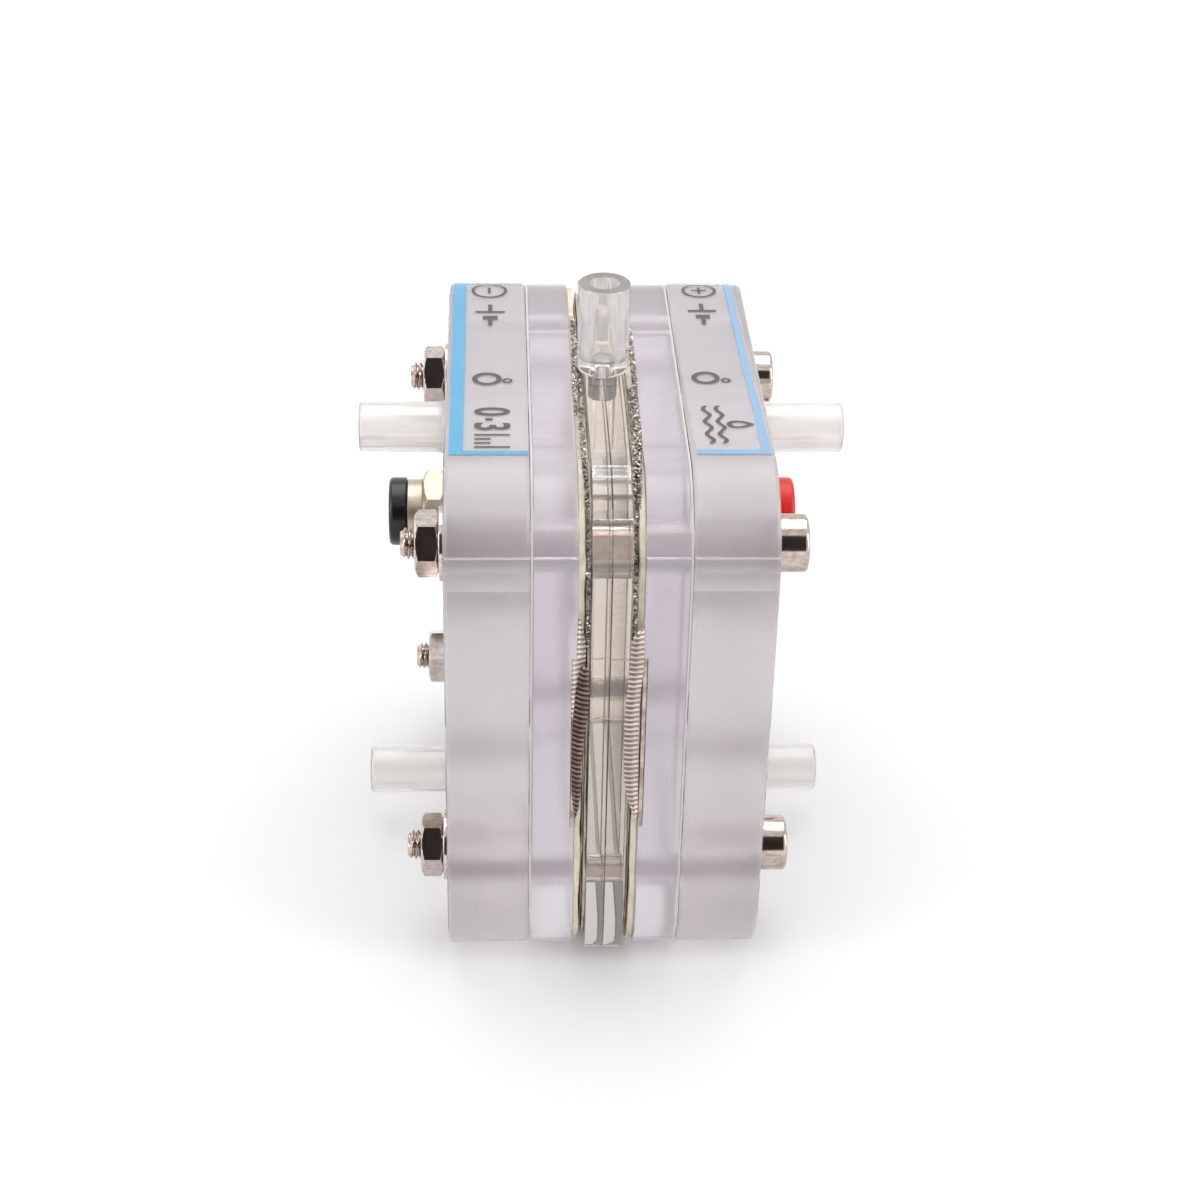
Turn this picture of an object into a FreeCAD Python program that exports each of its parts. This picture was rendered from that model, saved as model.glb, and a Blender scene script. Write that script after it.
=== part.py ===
import FreeCAD, Part
import os
import re
import Sketcher

# Hydrogen electrolyzer, millimetres, +Z up. The plates are stacked along X and seen edge on from the front,
# at -Y. The origin is the middle of the footprint. Everything but the bolts and nuts is mirrored about the
# joint of the two centre frames, at X = 0.

doc = FreeCAD.newDocument("hydrogen_electrolyzer")
sheet = doc.addObject("Spreadsheet::Sheet", "Sizes")

# Driving sizes in millimetres, angles in degrees
driving_sizes = (
    # Plates
    ("plate_side", 54),
    ("corner_radius", 9),
    ("frame_corner_radius", 7.6),
    ("outer_plate_thickness", 8),
    ("inner_plate_thickness", 4.2),
    ("frame_half_thickness", 1.85),
    ("rim_chamfer", 0.35),
    ("edge_break", 0.12),
    # What is left round the chambers, for water and oxygen in the inner plates and hydrogen in the frames
    ("window_side_margin", 13.5),
    ("window_end_margin", 4.5),
    ("frame_window_margin", 7.5),
    ("window_corner", 3),
    ("port_margin", 0.4),
    # Sheets between the plates
    ("gasket_thickness", 0.75),
    ("membrane_thickness", 0.15),
    ("seal_thickness", 0.25),
    ("sheet_inset", 0.3),
    ("sheet_hole_gap", 0.3),
    # Expanded metal electrodes
    ("mesh_gap", 0.1),
    ("mesh_columns", 5),
    ("mesh_rows", 9),
    ("mesh_strand", 0.7),
    ("hem_front_margin", 0.5),
    ("hem_rear_margin", 5.5),
    ("hem_height", 1.5),
    ("hem_thickness", 0.95),
    ("hem_gap", 0.2),
    # Ribbed current collector with its folded lip
    ("collector_height", 19),
    ("collector_rise", 1.2),
    ("collector_thickness", 0.45),
    ("collector_gap", 0.05),
    ("collector_side_gap", 0.1),
    ("collector_overrun", 1.2),
    ("collector_slots", 7),
    ("collector_slot_width", 1.6),
    ("collector_slot_height", 13),
    ("lip_depth", 0.6),
    ("lip_root", 0.5),
    ("lip_bulge", 1.75),
    ("lip_tip_width", 0.55),
    ("lip_ribs", 37),
    ("rib_depth", 0.2),
    ("rib_width", 0.3),
    # Bolts, nuts and washers
    ("bolt_inset", 9.5),
    ("bolt_diameter", 3),
    ("bolt_hole_gap", 0.1),
    ("bolt_reach", 1.35),
    ("bolt_tip_chamfer", 0.35),
    ("head_diameter", 5.5),
    ("head_height", 3),
    ("head_chamfer", 0.35),
    ("key_width", 2.5),
    ("key_depth", 1.6),
    ("nut_width", 5.5),
    ("nut_height", 2.25),
    ("nut_turn", 59),
    ("nut_corner_cut", 0.28),
    ("nut_thread_gap", 0.02),
    ("washer_diameter", 7),
    ("washer_thickness", 0.5),
    # Hose stubs for water and oxygen, one pair a side
    ("tube_diameter", 5),
    ("tube_bore", 3),
    ("tube_reach", 8.6),
    ("tube_seat", 4),
    ("tube_seat_diameter", 4.2),
    ("tube_seat_gap", 0.02),
    ("tube_chamfer", 0.35),
    # Hydrogen outlet on top
    ("outlet_reach", 9.1),
    ("outlet_bore", 2.8),
    ("outlet_floor", 1.2),
    ("spigot_diameter", 2.8),
    ("spigot_length", 3.5),
    ("spigot_bore", 1.5),
    # Banana jacks
    ("jack_inset", 9.5),
    ("jack_bore", 2),
    ("jack_bore_depth", 12),
    ("jack_thread", 4),
    ("jack_hole_gap", 0.05),
    ("jack_washer_diameter", 10),
    ("jack_washer_thickness", 0.6),
    ("hex_width", 8),
    ("hex_height", 2.5),
    ("hex_turn", 15),
    ("hex_corner_cut", 0.4),
    ("collar_diameter", 7),
    ("collar_height", 1.7),
    ("ring_diameter", 7.4),
    ("ring_height", 1.95),
    ("ring_chamfer", 0.4),
    ("ring_gap", 0.02),
    # Printed labels on the top edges of the outer plates
    ("label_width", 7.2),
    ("label_thickness", 0.1),
    ("label_wrap", 22),
    ("label_margin", 0.35),
)

for row, (alias, size) in enumerate(driving_sizes, 1):
    sheet.set("A%d" % row, alias)
    sheet.set("B%d" % row, str(size))
    sheet.setAlias("B%d" % row, alias)
doc.recompute()
aliases = {alias for alias, size in driving_sizes}


def bound(formula):
    """The formula with each size's name read from the sheet."""
    return re.sub(r"[a-z_]+", lambda word: word[0] if word[0] not in aliases else "Sizes." + word[0], formula)


def number(formula):
    """What a formula of sizes gives now."""
    return float(sheet.evalExpression(bound(formula)))


# Sizes and places that several pieces share, as formulas of the driving sizes. Those along X are counted from
# the middle outwards.
half_side = "(plate_side / 2)"
bolt_place = "(plate_side / 2 - bolt_inset)"
jack_across = "(plate_side / 2 - jack_inset)"
jack_up = "collector_rise"
window_width = "(plate_side - 2 * window_side_margin)"
window_height = "(plate_side - 2 * window_end_margin)"
frame_window_height = "(plate_side - 2 * frame_window_margin)"
port_up = "(plate_side / 2 - window_end_margin - tube_bore / 2 - port_margin)"
seal_at = "frame_half_thickness"
membrane_at = seal_at + " + seal_thickness"
gasket_at = membrane_at + " + membrane_thickness"
inner_plate_at = gasket_at + " + gasket_thickness"
outer_plate_at = inner_plate_at + " + inner_plate_thickness"
outer_face_at = outer_plate_at + " + outer_plate_thickness"
bolt_hole = "bolt_diameter + 2 * bolt_hole_gap"
sheet_bolt_hole = "bolt_diameter + 2 * bolt_hole_gap + 2 * sheet_hole_gap"
recess_floor = "(plate_side / 2 - sheet_inset - hem_height - hem_gap)"
hem_front = "(hem_front_margin + corner_radius - plate_side / 2)"
hem_rear = "(plate_side / 2 - corner_radius - hem_rear_margin)"
sides = (("left", -1), ("right", 1))


def outward(formula, side):
    """A distance along X, counted away from the middle of the stack."""
    return formula if side > 0 else "-(" + formula + ")"


def new_body(label, along="0", across="0", up="plate_side / 2"):
    body = doc.addObject("PartDesign::Body", label)
    body.Label = label
    for axis, formula in zip("xyz", (along, across, up)):
        body.setExpression("Placement.Base." + axis, bound(formula))
    return body


def new_sketch(body, plane, offset="0"):
    """A sketch on one of the body's own origin planes, moved along its normal."""
    sketch = body.newObject("Sketcher::SketchObject", body.Label + "_sketch")
    origin_plane = next(item for item in body.Origin.OriginFeatures if item.Role == plane)
    sketch.AttachmentSupport = [(origin_plane, "")]
    sketch.MapMode = "FlatFace"
    sketch.setExpression("AttachmentOffset.Base.z", bound(offset))
    return sketch


def bind(sketch, kind, geometry, formula):
    """One dimension of a sketch, tied to a formula of sizes."""
    index = sketch.addConstraint(Sketcher.Constraint(kind, *geometry, number(formula)))
    sketch.setExpression("Constraints[%d]" % index, bound(formula))


def place_point(sketch, geometry, end, x, y):
    bind(sketch, "DistanceX", (-1, 1, geometry, end), x)
    bind(sketch, "DistanceY", (-1, 1, geometry, end), y)


def circle(sketch, diameter, x="0", y="0"):
    centre = FreeCAD.Vector(number(x), number(y), 0)
    up = FreeCAD.Vector(0, 0, 1)
    added = sketch.addGeometry(Part.Circle(centre, up, number(diameter) / 2))
    bind(sketch, "Diameter", (added,), diameter)
    place_point(sketch, added, 3, x, y)


def bolt_circles(sketch, diameter):
    for across in (bolt_place, "-" + bolt_place):
        for up in (bolt_place, "-" + bolt_place):
            circle(sketch, diameter, across, up)


def outline(sketch, corners, arcs=()):
    """A closed outline through corners given as formulas. arcs gives the centre and radius of the curve that
    leaves a corner, and whether it turns left."""
    arcs = dict(arcs)
    points = [FreeCAD.Vector(number(x), number(y), 0) for x, y in corners]
    starts = []
    for index, point in enumerate(points):
        following = points[(index + 1) % len(points)]
        if index not in arcs:
            starts.append((sketch.addGeometry(Part.LineSegment(point, following)), 1, 2))
            continue
        x, y, radius, turns_left = arcs[index]
        centre = FreeCAD.Vector(number(x), number(y), 0)
        first, last = (point, following) if turns_left else (following, point)
        whole = Part.Circle(centre, FreeCAD.Vector(0, 0, 1), number(radius))
        curve = Part.ArcOfCircle(whole, whole.parameter(first), whole.parameter(last))
        ends = (1, 2) if turns_left else (2, 1)
        starts.append((sketch.addGeometry(curve), *ends))
        bind(sketch, "Radius", (starts[-1][0],), radius)
    for index, (geometry, first, last) in enumerate(starts):
        onward = starts[(index + 1) % len(starts)]
        sketch.addConstraint(Sketcher.Constraint("Coincident", geometry, last, onward[0], onward[1]))
        place_point(sketch, geometry, first, *corners[index])


def rectangle(sketch, left, bottom, right, top):
    outline(sketch, ((left, bottom), (right, bottom), (right, top), (left, top)))


def rounded_rectangle(sketch, width, height, radius):
    """A rectangle about the sketch's origin with four equal round corners."""
    x = "(%s) / 2" % width
    y = "(%s) / 2" % height
    near_x = x + " - (%s)" % radius
    near_y = y + " - (%s)" % radius
    corners = (
        ("-(%s)" % near_x, "-(%s)" % y),
        (near_x, "-(%s)" % y),
        (x, "-(%s)" % near_y),
        (x, near_y),
        (near_x, y),
        ("-(%s)" % near_x, y),
        ("-(%s)" % x, near_y),
        ("-(%s)" % x, "-(%s)" % near_y),
    )
    arcs = {
        1: (near_x, "-(%s)" % near_y, radius, True),
        3: (near_x, near_y, radius, True),
        5: ("-(%s)" % near_x, near_y, radius, True),
        7: ("-(%s)" % near_x, "-(%s)" % near_y, radius, True),
    }
    outline(sketch, corners, arcs)


def hexagon(sketch, width, turn, x="0", y="0"):
    """A regular hexagon by its width across flats. turn is the angle of its first corner."""
    reach = "(%s) / 2 / cos(30)" % width
    angles = ["(%s) + %d" % (turn, step * 60) for step in range(6)]
    corners = [("%s + %s * cos(%s)" % (x, reach, a), "%s + %s * sin(%s)" % (y, reach, a)) for a in angles]
    outline(sketch, corners)


def pad(body, sketch, length, reversed_way=False):
    feature = body.newObject("PartDesign::Pad", body.Label + "_pad")
    feature.Profile = sketch
    feature.setExpression("Length", bound(length))
    feature.Reversed = reversed_way
    doc.recompute()
    return feature


def cut(body, sketch, depth=None, reversed_way=False):
    """A pocket of the given depth, or right through both ways. It has to take something away."""
    before = body.Shape.Volume
    feature = body.newObject("PartDesign::Pocket", body.Label + "_cut")
    feature.Profile = sketch
    if depth is None:
        feature.Type = "ThroughAll"
        feature.SideType = "Symmetric"
    else:
        feature.setExpression("Length", bound(depth))
        feature.Reversed = reversed_way
    doc.recompute()
    if body.Shape.Volume > before - 1e-6:
        raise RuntimeError(feature.Name + " cuts nothing")
    return feature


def revolve(body, sketch, axis, kind="PartDesign::Revolution"):
    feature = body.newObject(kind, body.Label + "_turned")
    feature.Profile = sketch
    feature.ReferenceAxis = (sketch, [axis])
    feature.Angle = 360
    doc.recompute()
    return feature


def edges_at(shape, lowest, highest):
    """Names of the edges that lie wholly between two corners of a box."""
    slack = 1e-4
    names = []
    for index, edge in enumerate(shape.Edges, 1):
        box = edge.BoundBox
        low = (box.XMin, box.YMin, box.ZMin)
        high = (box.XMax, box.YMax, box.ZMax)
        above = all(a > b - slack for a, b in zip(low, lowest))
        below = all(a < b + slack for a, b in zip(high, highest))
        if above and below:
            names.append("Edge%d" % index)
    return names


def chamfer(body, along, size):
    """A chamfer on every edge that lies in the plane X = along."""
    base = body.Tip
    at = number(along)
    far = 10 * number("plate_side")
    feature = body.newObject("PartDesign::Chamfer", body.Label + "_chamfer")
    feature.Base = (base, edges_at(base.Shape, (at, -far, -far), (at, far, far)))
    feature.setExpression("Size", bound(size))
    doc.recompute()
    return feature


def pattern(body, original, sketch, spacings):
    """Copies of a cut along the sketch's axes. spacings gives a step and a count for one or two axes."""
    feature = body.newObject("PartDesign::LinearPattern", body.Label + "_pattern")
    feature.Originals = [original]
    for suffix, (axis, step, count) in zip(("", "2"), spacings):
        setattr(feature, "Direction" + suffix, (sketch, [axis]))
        setattr(feature, "Mode" + suffix, "Spacing")
        feature.setExpression("Offset" + suffix, bound(step))
        feature.setExpression("Occurrences" + suffix, bound(count))
    body.Tip = feature
    doc.recompute()
    return feature


# Plates and frames
def outer_plate(name, side):
    body = new_body("outer_plate_" + name, outward(outer_plate_at, side))
    blank = new_sketch(body, "YZ_Plane")
    rounded_rectangle(blank, "plate_side", "plate_side", "corner_radius")
    pad(body, blank, "outer_plate_thickness", side < 0)
    chamfer(body, outward("outer_plate_thickness", side), "rim_chamfer")
    chamfer(body, "0", "edge_break")
    holes = new_sketch(body, "YZ_Plane")
    bolt_circles(holes, bolt_hole)
    circle(holes, "jack_thread + 2 * jack_hole_gap", jack_across, jack_up)
    for up in (port_up, "-" + port_up):
        circle(holes, "tube_bore", "0", up)
    cut(body, holes)
    seats = new_sketch(body, "YZ_Plane", outward("outer_plate_thickness", side))
    for up in (port_up, "-" + port_up):
        circle(seats, "tube_seat_diameter + 2 * tube_seat_gap", "0", up)
    cut(body, seats, "tube_seat", side < 0)


def inner_plate(name, side):
    body = new_body("inner_plate_" + name, outward(inner_plate_at, side))
    blank = new_sketch(body, "YZ_Plane")
    rounded_rectangle(blank, "plate_side", "plate_side", "corner_radius")
    pad(body, blank, "inner_plate_thickness", side < 0)
    chamfer(body, outward("inner_plate_thickness", side), "edge_break")
    chamfer(body, "0", "edge_break")
    holes = new_sketch(body, "YZ_Plane")
    bolt_circles(holes, bolt_hole)
    circle(holes, "jack_thread + 2 * jack_hole_gap", jack_across, jack_up)
    cut(body, holes)
    window = new_sketch(body, "YZ_Plane")
    rounded_rectangle(window, window_width, window_height, "window_corner")
    cut(body, window)
    # The collector lies in a shallow slot that runs from the jack to the front edge
    slot = new_sketch(body, "YZ_Plane")
    half_slot = "(collector_height / 2 + collector_side_gap)"
    rear = jack_across + " + jack_thread / 2 + collector_overrun + collector_side_gap"
    rectangle(slot, "-plate_side / 2", "collector_rise - " + half_slot, rear, "collector_rise + " + half_slot)
    cut(body, slot, "collector_thickness + collector_gap", side > 0)


def centre_frame(name, side):
    body = new_body("centre_frame_" + name)
    blank = new_sketch(body, "YZ_Plane")
    rounded_rectangle(blank, "plate_side", "plate_side", "frame_corner_radius")
    pad(body, blank, "frame_half_thickness", side < 0)
    chamfer(body, "0", "edge_break")
    holes = new_sketch(body, "YZ_Plane")
    bolt_circles(holes, bolt_hole)
    cut(body, holes)
    window = new_sketch(body, "YZ_Plane")
    rounded_rectangle(window, window_width, frame_window_height, "window_corner")
    cut(body, window)
    # Half of the bore that leads from the hydrogen chamber up to the outlet
    outlet = new_sketch(body, "XY_Plane", half_side)
    circle(outlet, "spigot_diameter")
    cut(body, outlet, "frame_window_margin")


# Sheets clamped between the plates
def sheet_outline(sketch):
    """The plates' outline less the inset, with a shallow recess in its top edge for the hem."""
    edge = "(plate_side / 2 - sheet_inset)"
    bend = "(plate_side / 2 - corner_radius)"
    radius = "(corner_radius - sheet_inset)"
    corners = (
        ("-" + bend, "-" + edge),
        (bend, "-" + edge),
        (edge, "-" + bend),
        (edge, bend),
        (bend, edge),
        (hem_rear, edge),
        (hem_rear, recess_floor),
        (hem_front, recess_floor),
        (hem_front, edge),
        ("-" + bend, edge),
        ("-" + edge, bend),
        ("-" + edge, "-" + bend),
    )
    arcs = {
        1: (bend, "-" + bend, radius, True),
        3: (bend, bend, radius, True),
        9: ("-" + bend, bend, radius, True),
        11: ("-" + bend, "-" + bend, radius, True),
    }
    outline(sketch, corners, arcs)


def gasket(name, side):
    body = new_body("gasket_" + name, outward(gasket_at, side))
    blank = new_sketch(body, "YZ_Plane")
    sheet_outline(blank)
    bolt_circles(blank, sheet_bolt_hole)
    pad(body, blank, "gasket_thickness", side < 0)
    window = new_sketch(body, "YZ_Plane")
    rounded_rectangle(window, window_width, window_height, "window_corner")
    cut(body, window)


def membrane(name, side):
    body = new_body("membrane_" + name, outward(membrane_at, side))
    blank = new_sketch(body, "YZ_Plane")
    sheet_outline(blank)
    bolt_circles(blank, sheet_bolt_hole)
    pad(body, blank, "membrane_thickness", side < 0)


def frame_seal(name, side):
    body = new_body("frame_seal_" + name, outward(seal_at, side))
    blank = new_sketch(body, "YZ_Plane")
    sheet_outline(blank)
    bolt_circles(blank, sheet_bolt_hole)
    pad(body, blank, "seal_thickness", side < 0)
    half_width = "%s / 2" % window_width
    half_height = "%s / 2" % window_height
    window = new_sketch(body, "YZ_Plane")
    rectangle(window, "-" + half_width, "-" + half_height, half_width, recess_floor)
    cut(body, window)
    neck = new_sketch(body, "YZ_Plane")
    rectangle(neck, hem_front, half_height + " + hem_gap", hem_rear, recess_floor)
    cut(body, neck)


# Expanded metal electrodes
def diamonds(body):
    """Two staggered grids of diamond openings that fill the window, one strand apart."""
    pitch_across = "((%s - 2 * mesh_gap) / mesh_columns)" % window_width
    pitch_up = "((%s - 2 * mesh_gap) / mesh_rows)" % window_height
    half_across = "(%s / 2 - mesh_strand)" % pitch_across
    half_up = "(%s / 2 - mesh_strand)" % pitch_up
    for stagger in (0, 1):
        columns = "(mesh_columns - %d)" % stagger
        rows = "(mesh_rows - %d)" % stagger
        first_across = "(-(%s - 1) * %s / 2)" % (columns, pitch_across)
        first_up = "(-(%s - 1) * %s / 2)" % (rows, pitch_up)
        sketch = new_sketch(body, "YZ_Plane")
        corners = (
            (first_across + " - " + half_across, first_up),
            (first_across, first_up + " - " + half_up),
            (first_across + " + " + half_across, first_up),
            (first_across, first_up + " + " + half_up),
        )
        outline(sketch, corners)
        opening = cut(body, sketch)
        pattern(body, opening, sketch, (("H_Axis", pitch_across, columns), ("V_Axis", pitch_up, rows)))


def oxygen_electrode(name, side):
    """Fills the gasket's window, between the collector and the membrane."""
    body = new_body("oxygen_electrode_" + name, outward(gasket_at, side))
    blank = new_sketch(body, "YZ_Plane")
    width = window_width + " - 2 * mesh_gap"
    height = window_height + " - 2 * mesh_gap"
    rounded_rectangle(blank, width, height, "window_corner - mesh_gap")
    pad(body, blank, "gasket_thickness", side < 0)
    diamonds(body)


def hydrogen_electrode(name, side):
    """Lies in the seal and comes up between the plates to a folded hem along the top."""
    body = new_body("hydrogen_electrode_" + name, outward(seal_at, side))
    blank = new_sketch(body, "YZ_Plane")
    edge = "(%s / 2 - mesh_gap)" % window_width
    foot = "(mesh_gap - %s / 2)" % window_height
    neck = "(%s / 2 + hem_gap + mesh_gap)" % window_height
    rear = "(%s - mesh_gap)" % hem_rear
    front = "(%s + mesh_gap)" % hem_front
    top = "(%s + hem_gap)" % recess_floor
    corners = (
        ("-" + edge, foot),
        (edge, foot),
        (edge, neck),
        (rear, neck),
        (rear, top),
        (front, top),
        (front, neck),
        ("-" + edge, neck),
    )
    outline(blank, corners)
    pad(body, blank, "seal_thickness", side < 0)
    hem = new_sketch(body, "YZ_Plane")
    rectangle(hem, front, top, rear, top + " + hem_height")
    pad(body, hem, "hem_thickness", side < 0)
    diamonds(body)


def collector(name, side):
    """A strip from the jack to the front edge, slotted where it crosses the chamber. Its ribbed lip folds out
    over the joint between the plates."""
    body = new_body("collector_" + name, outward(inner_plate_at, side))
    rear = jack_across + " + jack_thread / 2 + collector_overrun"
    bottom = "(collector_rise - collector_height / 2)"
    top = "(collector_rise + collector_height / 2)"
    strip = new_sketch(body, "YZ_Plane")
    rectangle(strip, "-plate_side / 2", bottom, rear, top)
    pad(body, strip, "collector_thickness", side < 0)
    slots = new_sketch(body, "YZ_Plane")
    slot_pitch = "(%s / (collector_slots + 0.5))" % window_width
    first = "(-(collector_slots - 1) * %s / 2)" % slot_pitch
    slot_foot = "(collector_rise - collector_slot_height / 2)"
    slot_top = "(collector_rise + collector_slot_height / 2)"
    half_slot = "collector_slot_width / 2"
    rectangle(slots, first + " - " + half_slot, slot_foot, first + " + " + half_slot, slot_top)
    opening = cut(body, slots)
    pattern(body, opening, slots, (("H_Axis", slot_pitch, "collector_slots"),))
    # The lip, seen from the front: straight where it leaves the slot, bulging towards the middle of the stack
    lip = new_sketch(body, "XZ_Plane", half_side)
    root = outward("collector_thickness", side)
    tip = outward("collector_thickness - lip_root - lip_tip_width", side)
    rise = "(collector_height / 2)"
    bow = "(lip_bulge - lip_root - lip_tip_width + collector_thickness)"
    radius = "((%s * %s + %s * %s) / 2 / %s)" % (bow, bow, rise, rise, bow)
    centre = outward("collector_thickness - lip_root - lip_tip_width - %s + %s" % (bow, radius), side)
    corners = ((root, bottom), (root, top), (tip, top), (tip, bottom))
    outline(lip, corners, {2: (centre, "collector_rise", radius, side > 0)})
    pad(body, lip, "lip_depth")
    rib = new_sketch(body, "YZ_Plane")
    rib_pitch = "(collector_height / (lip_ribs + 1))"
    first = "(collector_rise - (lip_ribs - 1) * %s / 2)" % rib_pitch
    face = "(-plate_side / 2 - lip_depth)"
    corners = (
        (face + " - rib_depth", first + " - rib_width"),
        (face + " + rib_depth", first),
        (face + " - rib_depth", first + " + rib_width"),
    )
    outline(rib, corners)
    groove = cut(body, rib)
    pattern(body, groove, rib, (("V_Axis", rib_pitch, "lip_ribs"),))


# Fasteners
def bolt(name, across, up):
    """A socket head cap screw. Its own origin is under the head, and the shank points towards -X."""
    body = new_body("bolt_" + name, outer_face_at + " + washer_thickness", across, "plate_side / 2 + " + up)
    profile = new_sketch(body, "XZ_Plane")
    length = "(2 * (%s) + 2 * washer_thickness + nut_height + bolt_reach)" % outer_face_at
    corners = (
        ("-" + length, "0"),
        ("head_height", "0"),
        ("head_height", "head_diameter / 2"),
        ("0", "head_diameter / 2"),
        ("0", "bolt_diameter / 2"),
        ("-%s + bolt_tip_chamfer" % length, "bolt_diameter / 2"),
        ("-" + length, "bolt_diameter / 2 - bolt_tip_chamfer"),
    )
    outline(profile, corners)
    revolve(body, profile, "H_Axis")
    chamfer(body, "head_height", "head_chamfer")
    key = new_sketch(body, "YZ_Plane", "head_height")
    hexagon(key, "key_width", "0")
    cut(body, key, "key_depth")


def corner_cuts(body, width, depth, ends):
    """Turns a hexagon's corners down. Each end is a place on the axis and the way from it into the solid."""
    profile = new_sketch(body, "XZ_Plane")
    flat = "%s / 2" % width
    corner = "%s / 2 / cos(30)" % width
    for start, way in ends:
        foot = "%s %s %s" % (start, way, depth)
        clear = "%s + %s" % (corner, depth)
        outline(profile, ((start, flat), (start, clear), (foot, clear), (foot, corner)))
    revolve(body, profile, "H_Axis", "PartDesign::Groove")


def nut(name, across, up):
    along = "-(%s + washer_thickness)" % outer_face_at
    body = new_body("nut_" + name, along, across, "plate_side / 2 + " + up)
    blank = new_sketch(body, "YZ_Plane")
    hexagon(blank, "nut_width", "nut_turn")
    pad(body, blank, "nut_height", True)
    corner_cuts(body, "nut_width", "nut_corner_cut", (("-nut_height", "+"), ("0", "-")))
    bore = new_sketch(body, "YZ_Plane")
    circle(bore, "bolt_diameter + 2 * nut_thread_gap")
    cut(body, bore)


def washer(label, along, across, up, diameter, hole, thickness, side):
    body = new_body(label, outward(along, side), across, up)
    blank = new_sketch(body, "YZ_Plane")
    circle(blank, diameter)
    circle(blank, hole)
    pad(body, blank, thickness, side < 0)


# Hose stubs
def hose_stub(label, side, up):
    """A tube with a narrower end glued into the outer plate. Its own origin is at the plate's face."""
    body = new_body(label, outward(outer_face_at, side), "0", "plate_side / 2 + " + up)
    profile = new_sketch(body, "XZ_Plane")
    steps = (
        ("-tube_seat", "tube_bore / 2"),
        ("tube_reach", "tube_bore / 2"),
        ("tube_reach", "tube_diameter / 2"),
        ("0", "tube_diameter / 2"),
        ("0", "tube_seat_diameter / 2"),
        ("-tube_seat", "tube_seat_diameter / 2"),
    )
    outline(profile, [(outward(along, side), radius) for along, radius in steps])
    revolve(body, profile, "H_Axis")
    chamfer(body, outward("tube_reach", side), "tube_chamfer")


def hydrogen_outlet():
    """The wide tube on top, with a narrow spigot down into the centre frames."""
    body = new_body("hydrogen_outlet", up="plate_side")
    profile = new_sketch(body, "XZ_Plane")
    corners = (
        ("spigot_bore / 2", "-spigot_length"),
        ("spigot_diameter / 2", "-spigot_length"),
        ("spigot_diameter / 2", "0"),
        ("tube_diameter / 2", "0"),
        ("tube_diameter / 2", "outlet_reach"),
        ("outlet_bore / 2", "outlet_reach"),
        ("outlet_bore / 2", "outlet_floor"),
        ("spigot_bore / 2", "outlet_floor"),
    )
    outline(profile, corners)
    revolve(body, profile, "V_Axis")


# Banana jacks
def jack(name, side):
    """Threaded shank, hexagon, collar and the spigot under the coloured ring, turned from one bar. Its own
    origin is at the outer plate's face."""
    up = "plate_side / 2 + " + jack_up
    body = new_body("jack_" + name, outward(outer_face_at, side), jack_across, up)
    inner_end = "-(outer_plate_thickness + inner_plate_thickness - collector_thickness)"
    hex_end = "jack_washer_thickness + hex_height"
    collar_end = hex_end + " + collar_height"
    outer_end = collar_end + " + ring_height"
    profile = new_sketch(body, "XZ_Plane")
    steps = (
        (inner_end, "0"),
        (inner_end, "jack_thread / 2"),
        (hex_end, "jack_thread / 2"),
        (hex_end, "collar_diameter / 2"),
        (collar_end, "collar_diameter / 2"),
        (collar_end, "jack_thread / 2"),
        (outer_end, "jack_thread / 2"),
        (outer_end, "0"),
    )
    outline(profile, [(outward(x, side), radius) for x, radius in steps])
    revolve(body, profile, "H_Axis")
    hexagonal = new_sketch(body, "YZ_Plane", outward("jack_washer_thickness", side))
    hexagon(hexagonal, "hex_width", "hex_turn")
    pad(body, hexagonal, "hex_height", side < 0)
    inwards = "-" if side > 0 else "+"
    corner_cuts(body, "hex_width", "hex_corner_cut", ((outward(hex_end, side), inwards),))
    bore = new_sketch(body, "YZ_Plane", outward(outer_end, side))
    circle(bore, "jack_bore")
    cut(body, bore, "jack_bore_depth", side < 0)


def jack_ring(name, side):
    along = outer_face_at + " + jack_washer_thickness + hex_height + collar_height"
    body = new_body("jack_ring_" + name, outward(along, side), jack_across, "plate_side / 2 + " + jack_up)
    blank = new_sketch(body, "YZ_Plane")
    circle(blank, "ring_diameter")
    pad(body, blank, "ring_height", side < 0)
    chamfer(body, outward("ring_height", side), "ring_chamfer")
    bore = new_sketch(body, "YZ_Plane")
    circle(bore, "jack_thread + 2 * ring_gap")
    cut(body, bore)


def label(name, side):
    """A film on the plate's top edge that bends down over the rear corner."""
    along = outer_face_at + " - label_margin"
    body = new_body("label_" + name, outward(along, side))
    bend = "(plate_side / 2 - corner_radius)"
    top = "(plate_side / 2)"
    inner = "corner_radius"
    outer = "(corner_radius + label_thickness)"
    corners = (
        ("-" + bend, top),
        (bend, top),
        ("%s + %s * sin(label_wrap)" % (bend, inner), "%s + %s * cos(label_wrap)" % (bend, inner)),
        ("%s + %s * sin(label_wrap)" % (bend, outer), "%s + %s * cos(label_wrap)" % (bend, outer)),
        (bend, top + " + label_thickness"),
        ("-" + bend, top + " + label_thickness"),
    )
    film = new_sketch(body, "YZ_Plane")
    outline(film, corners, {1: (bend, bend, inner, False), 3: (bend, bend, outer, True)})
    pad(body, film, "label_width", side > 0)


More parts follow.
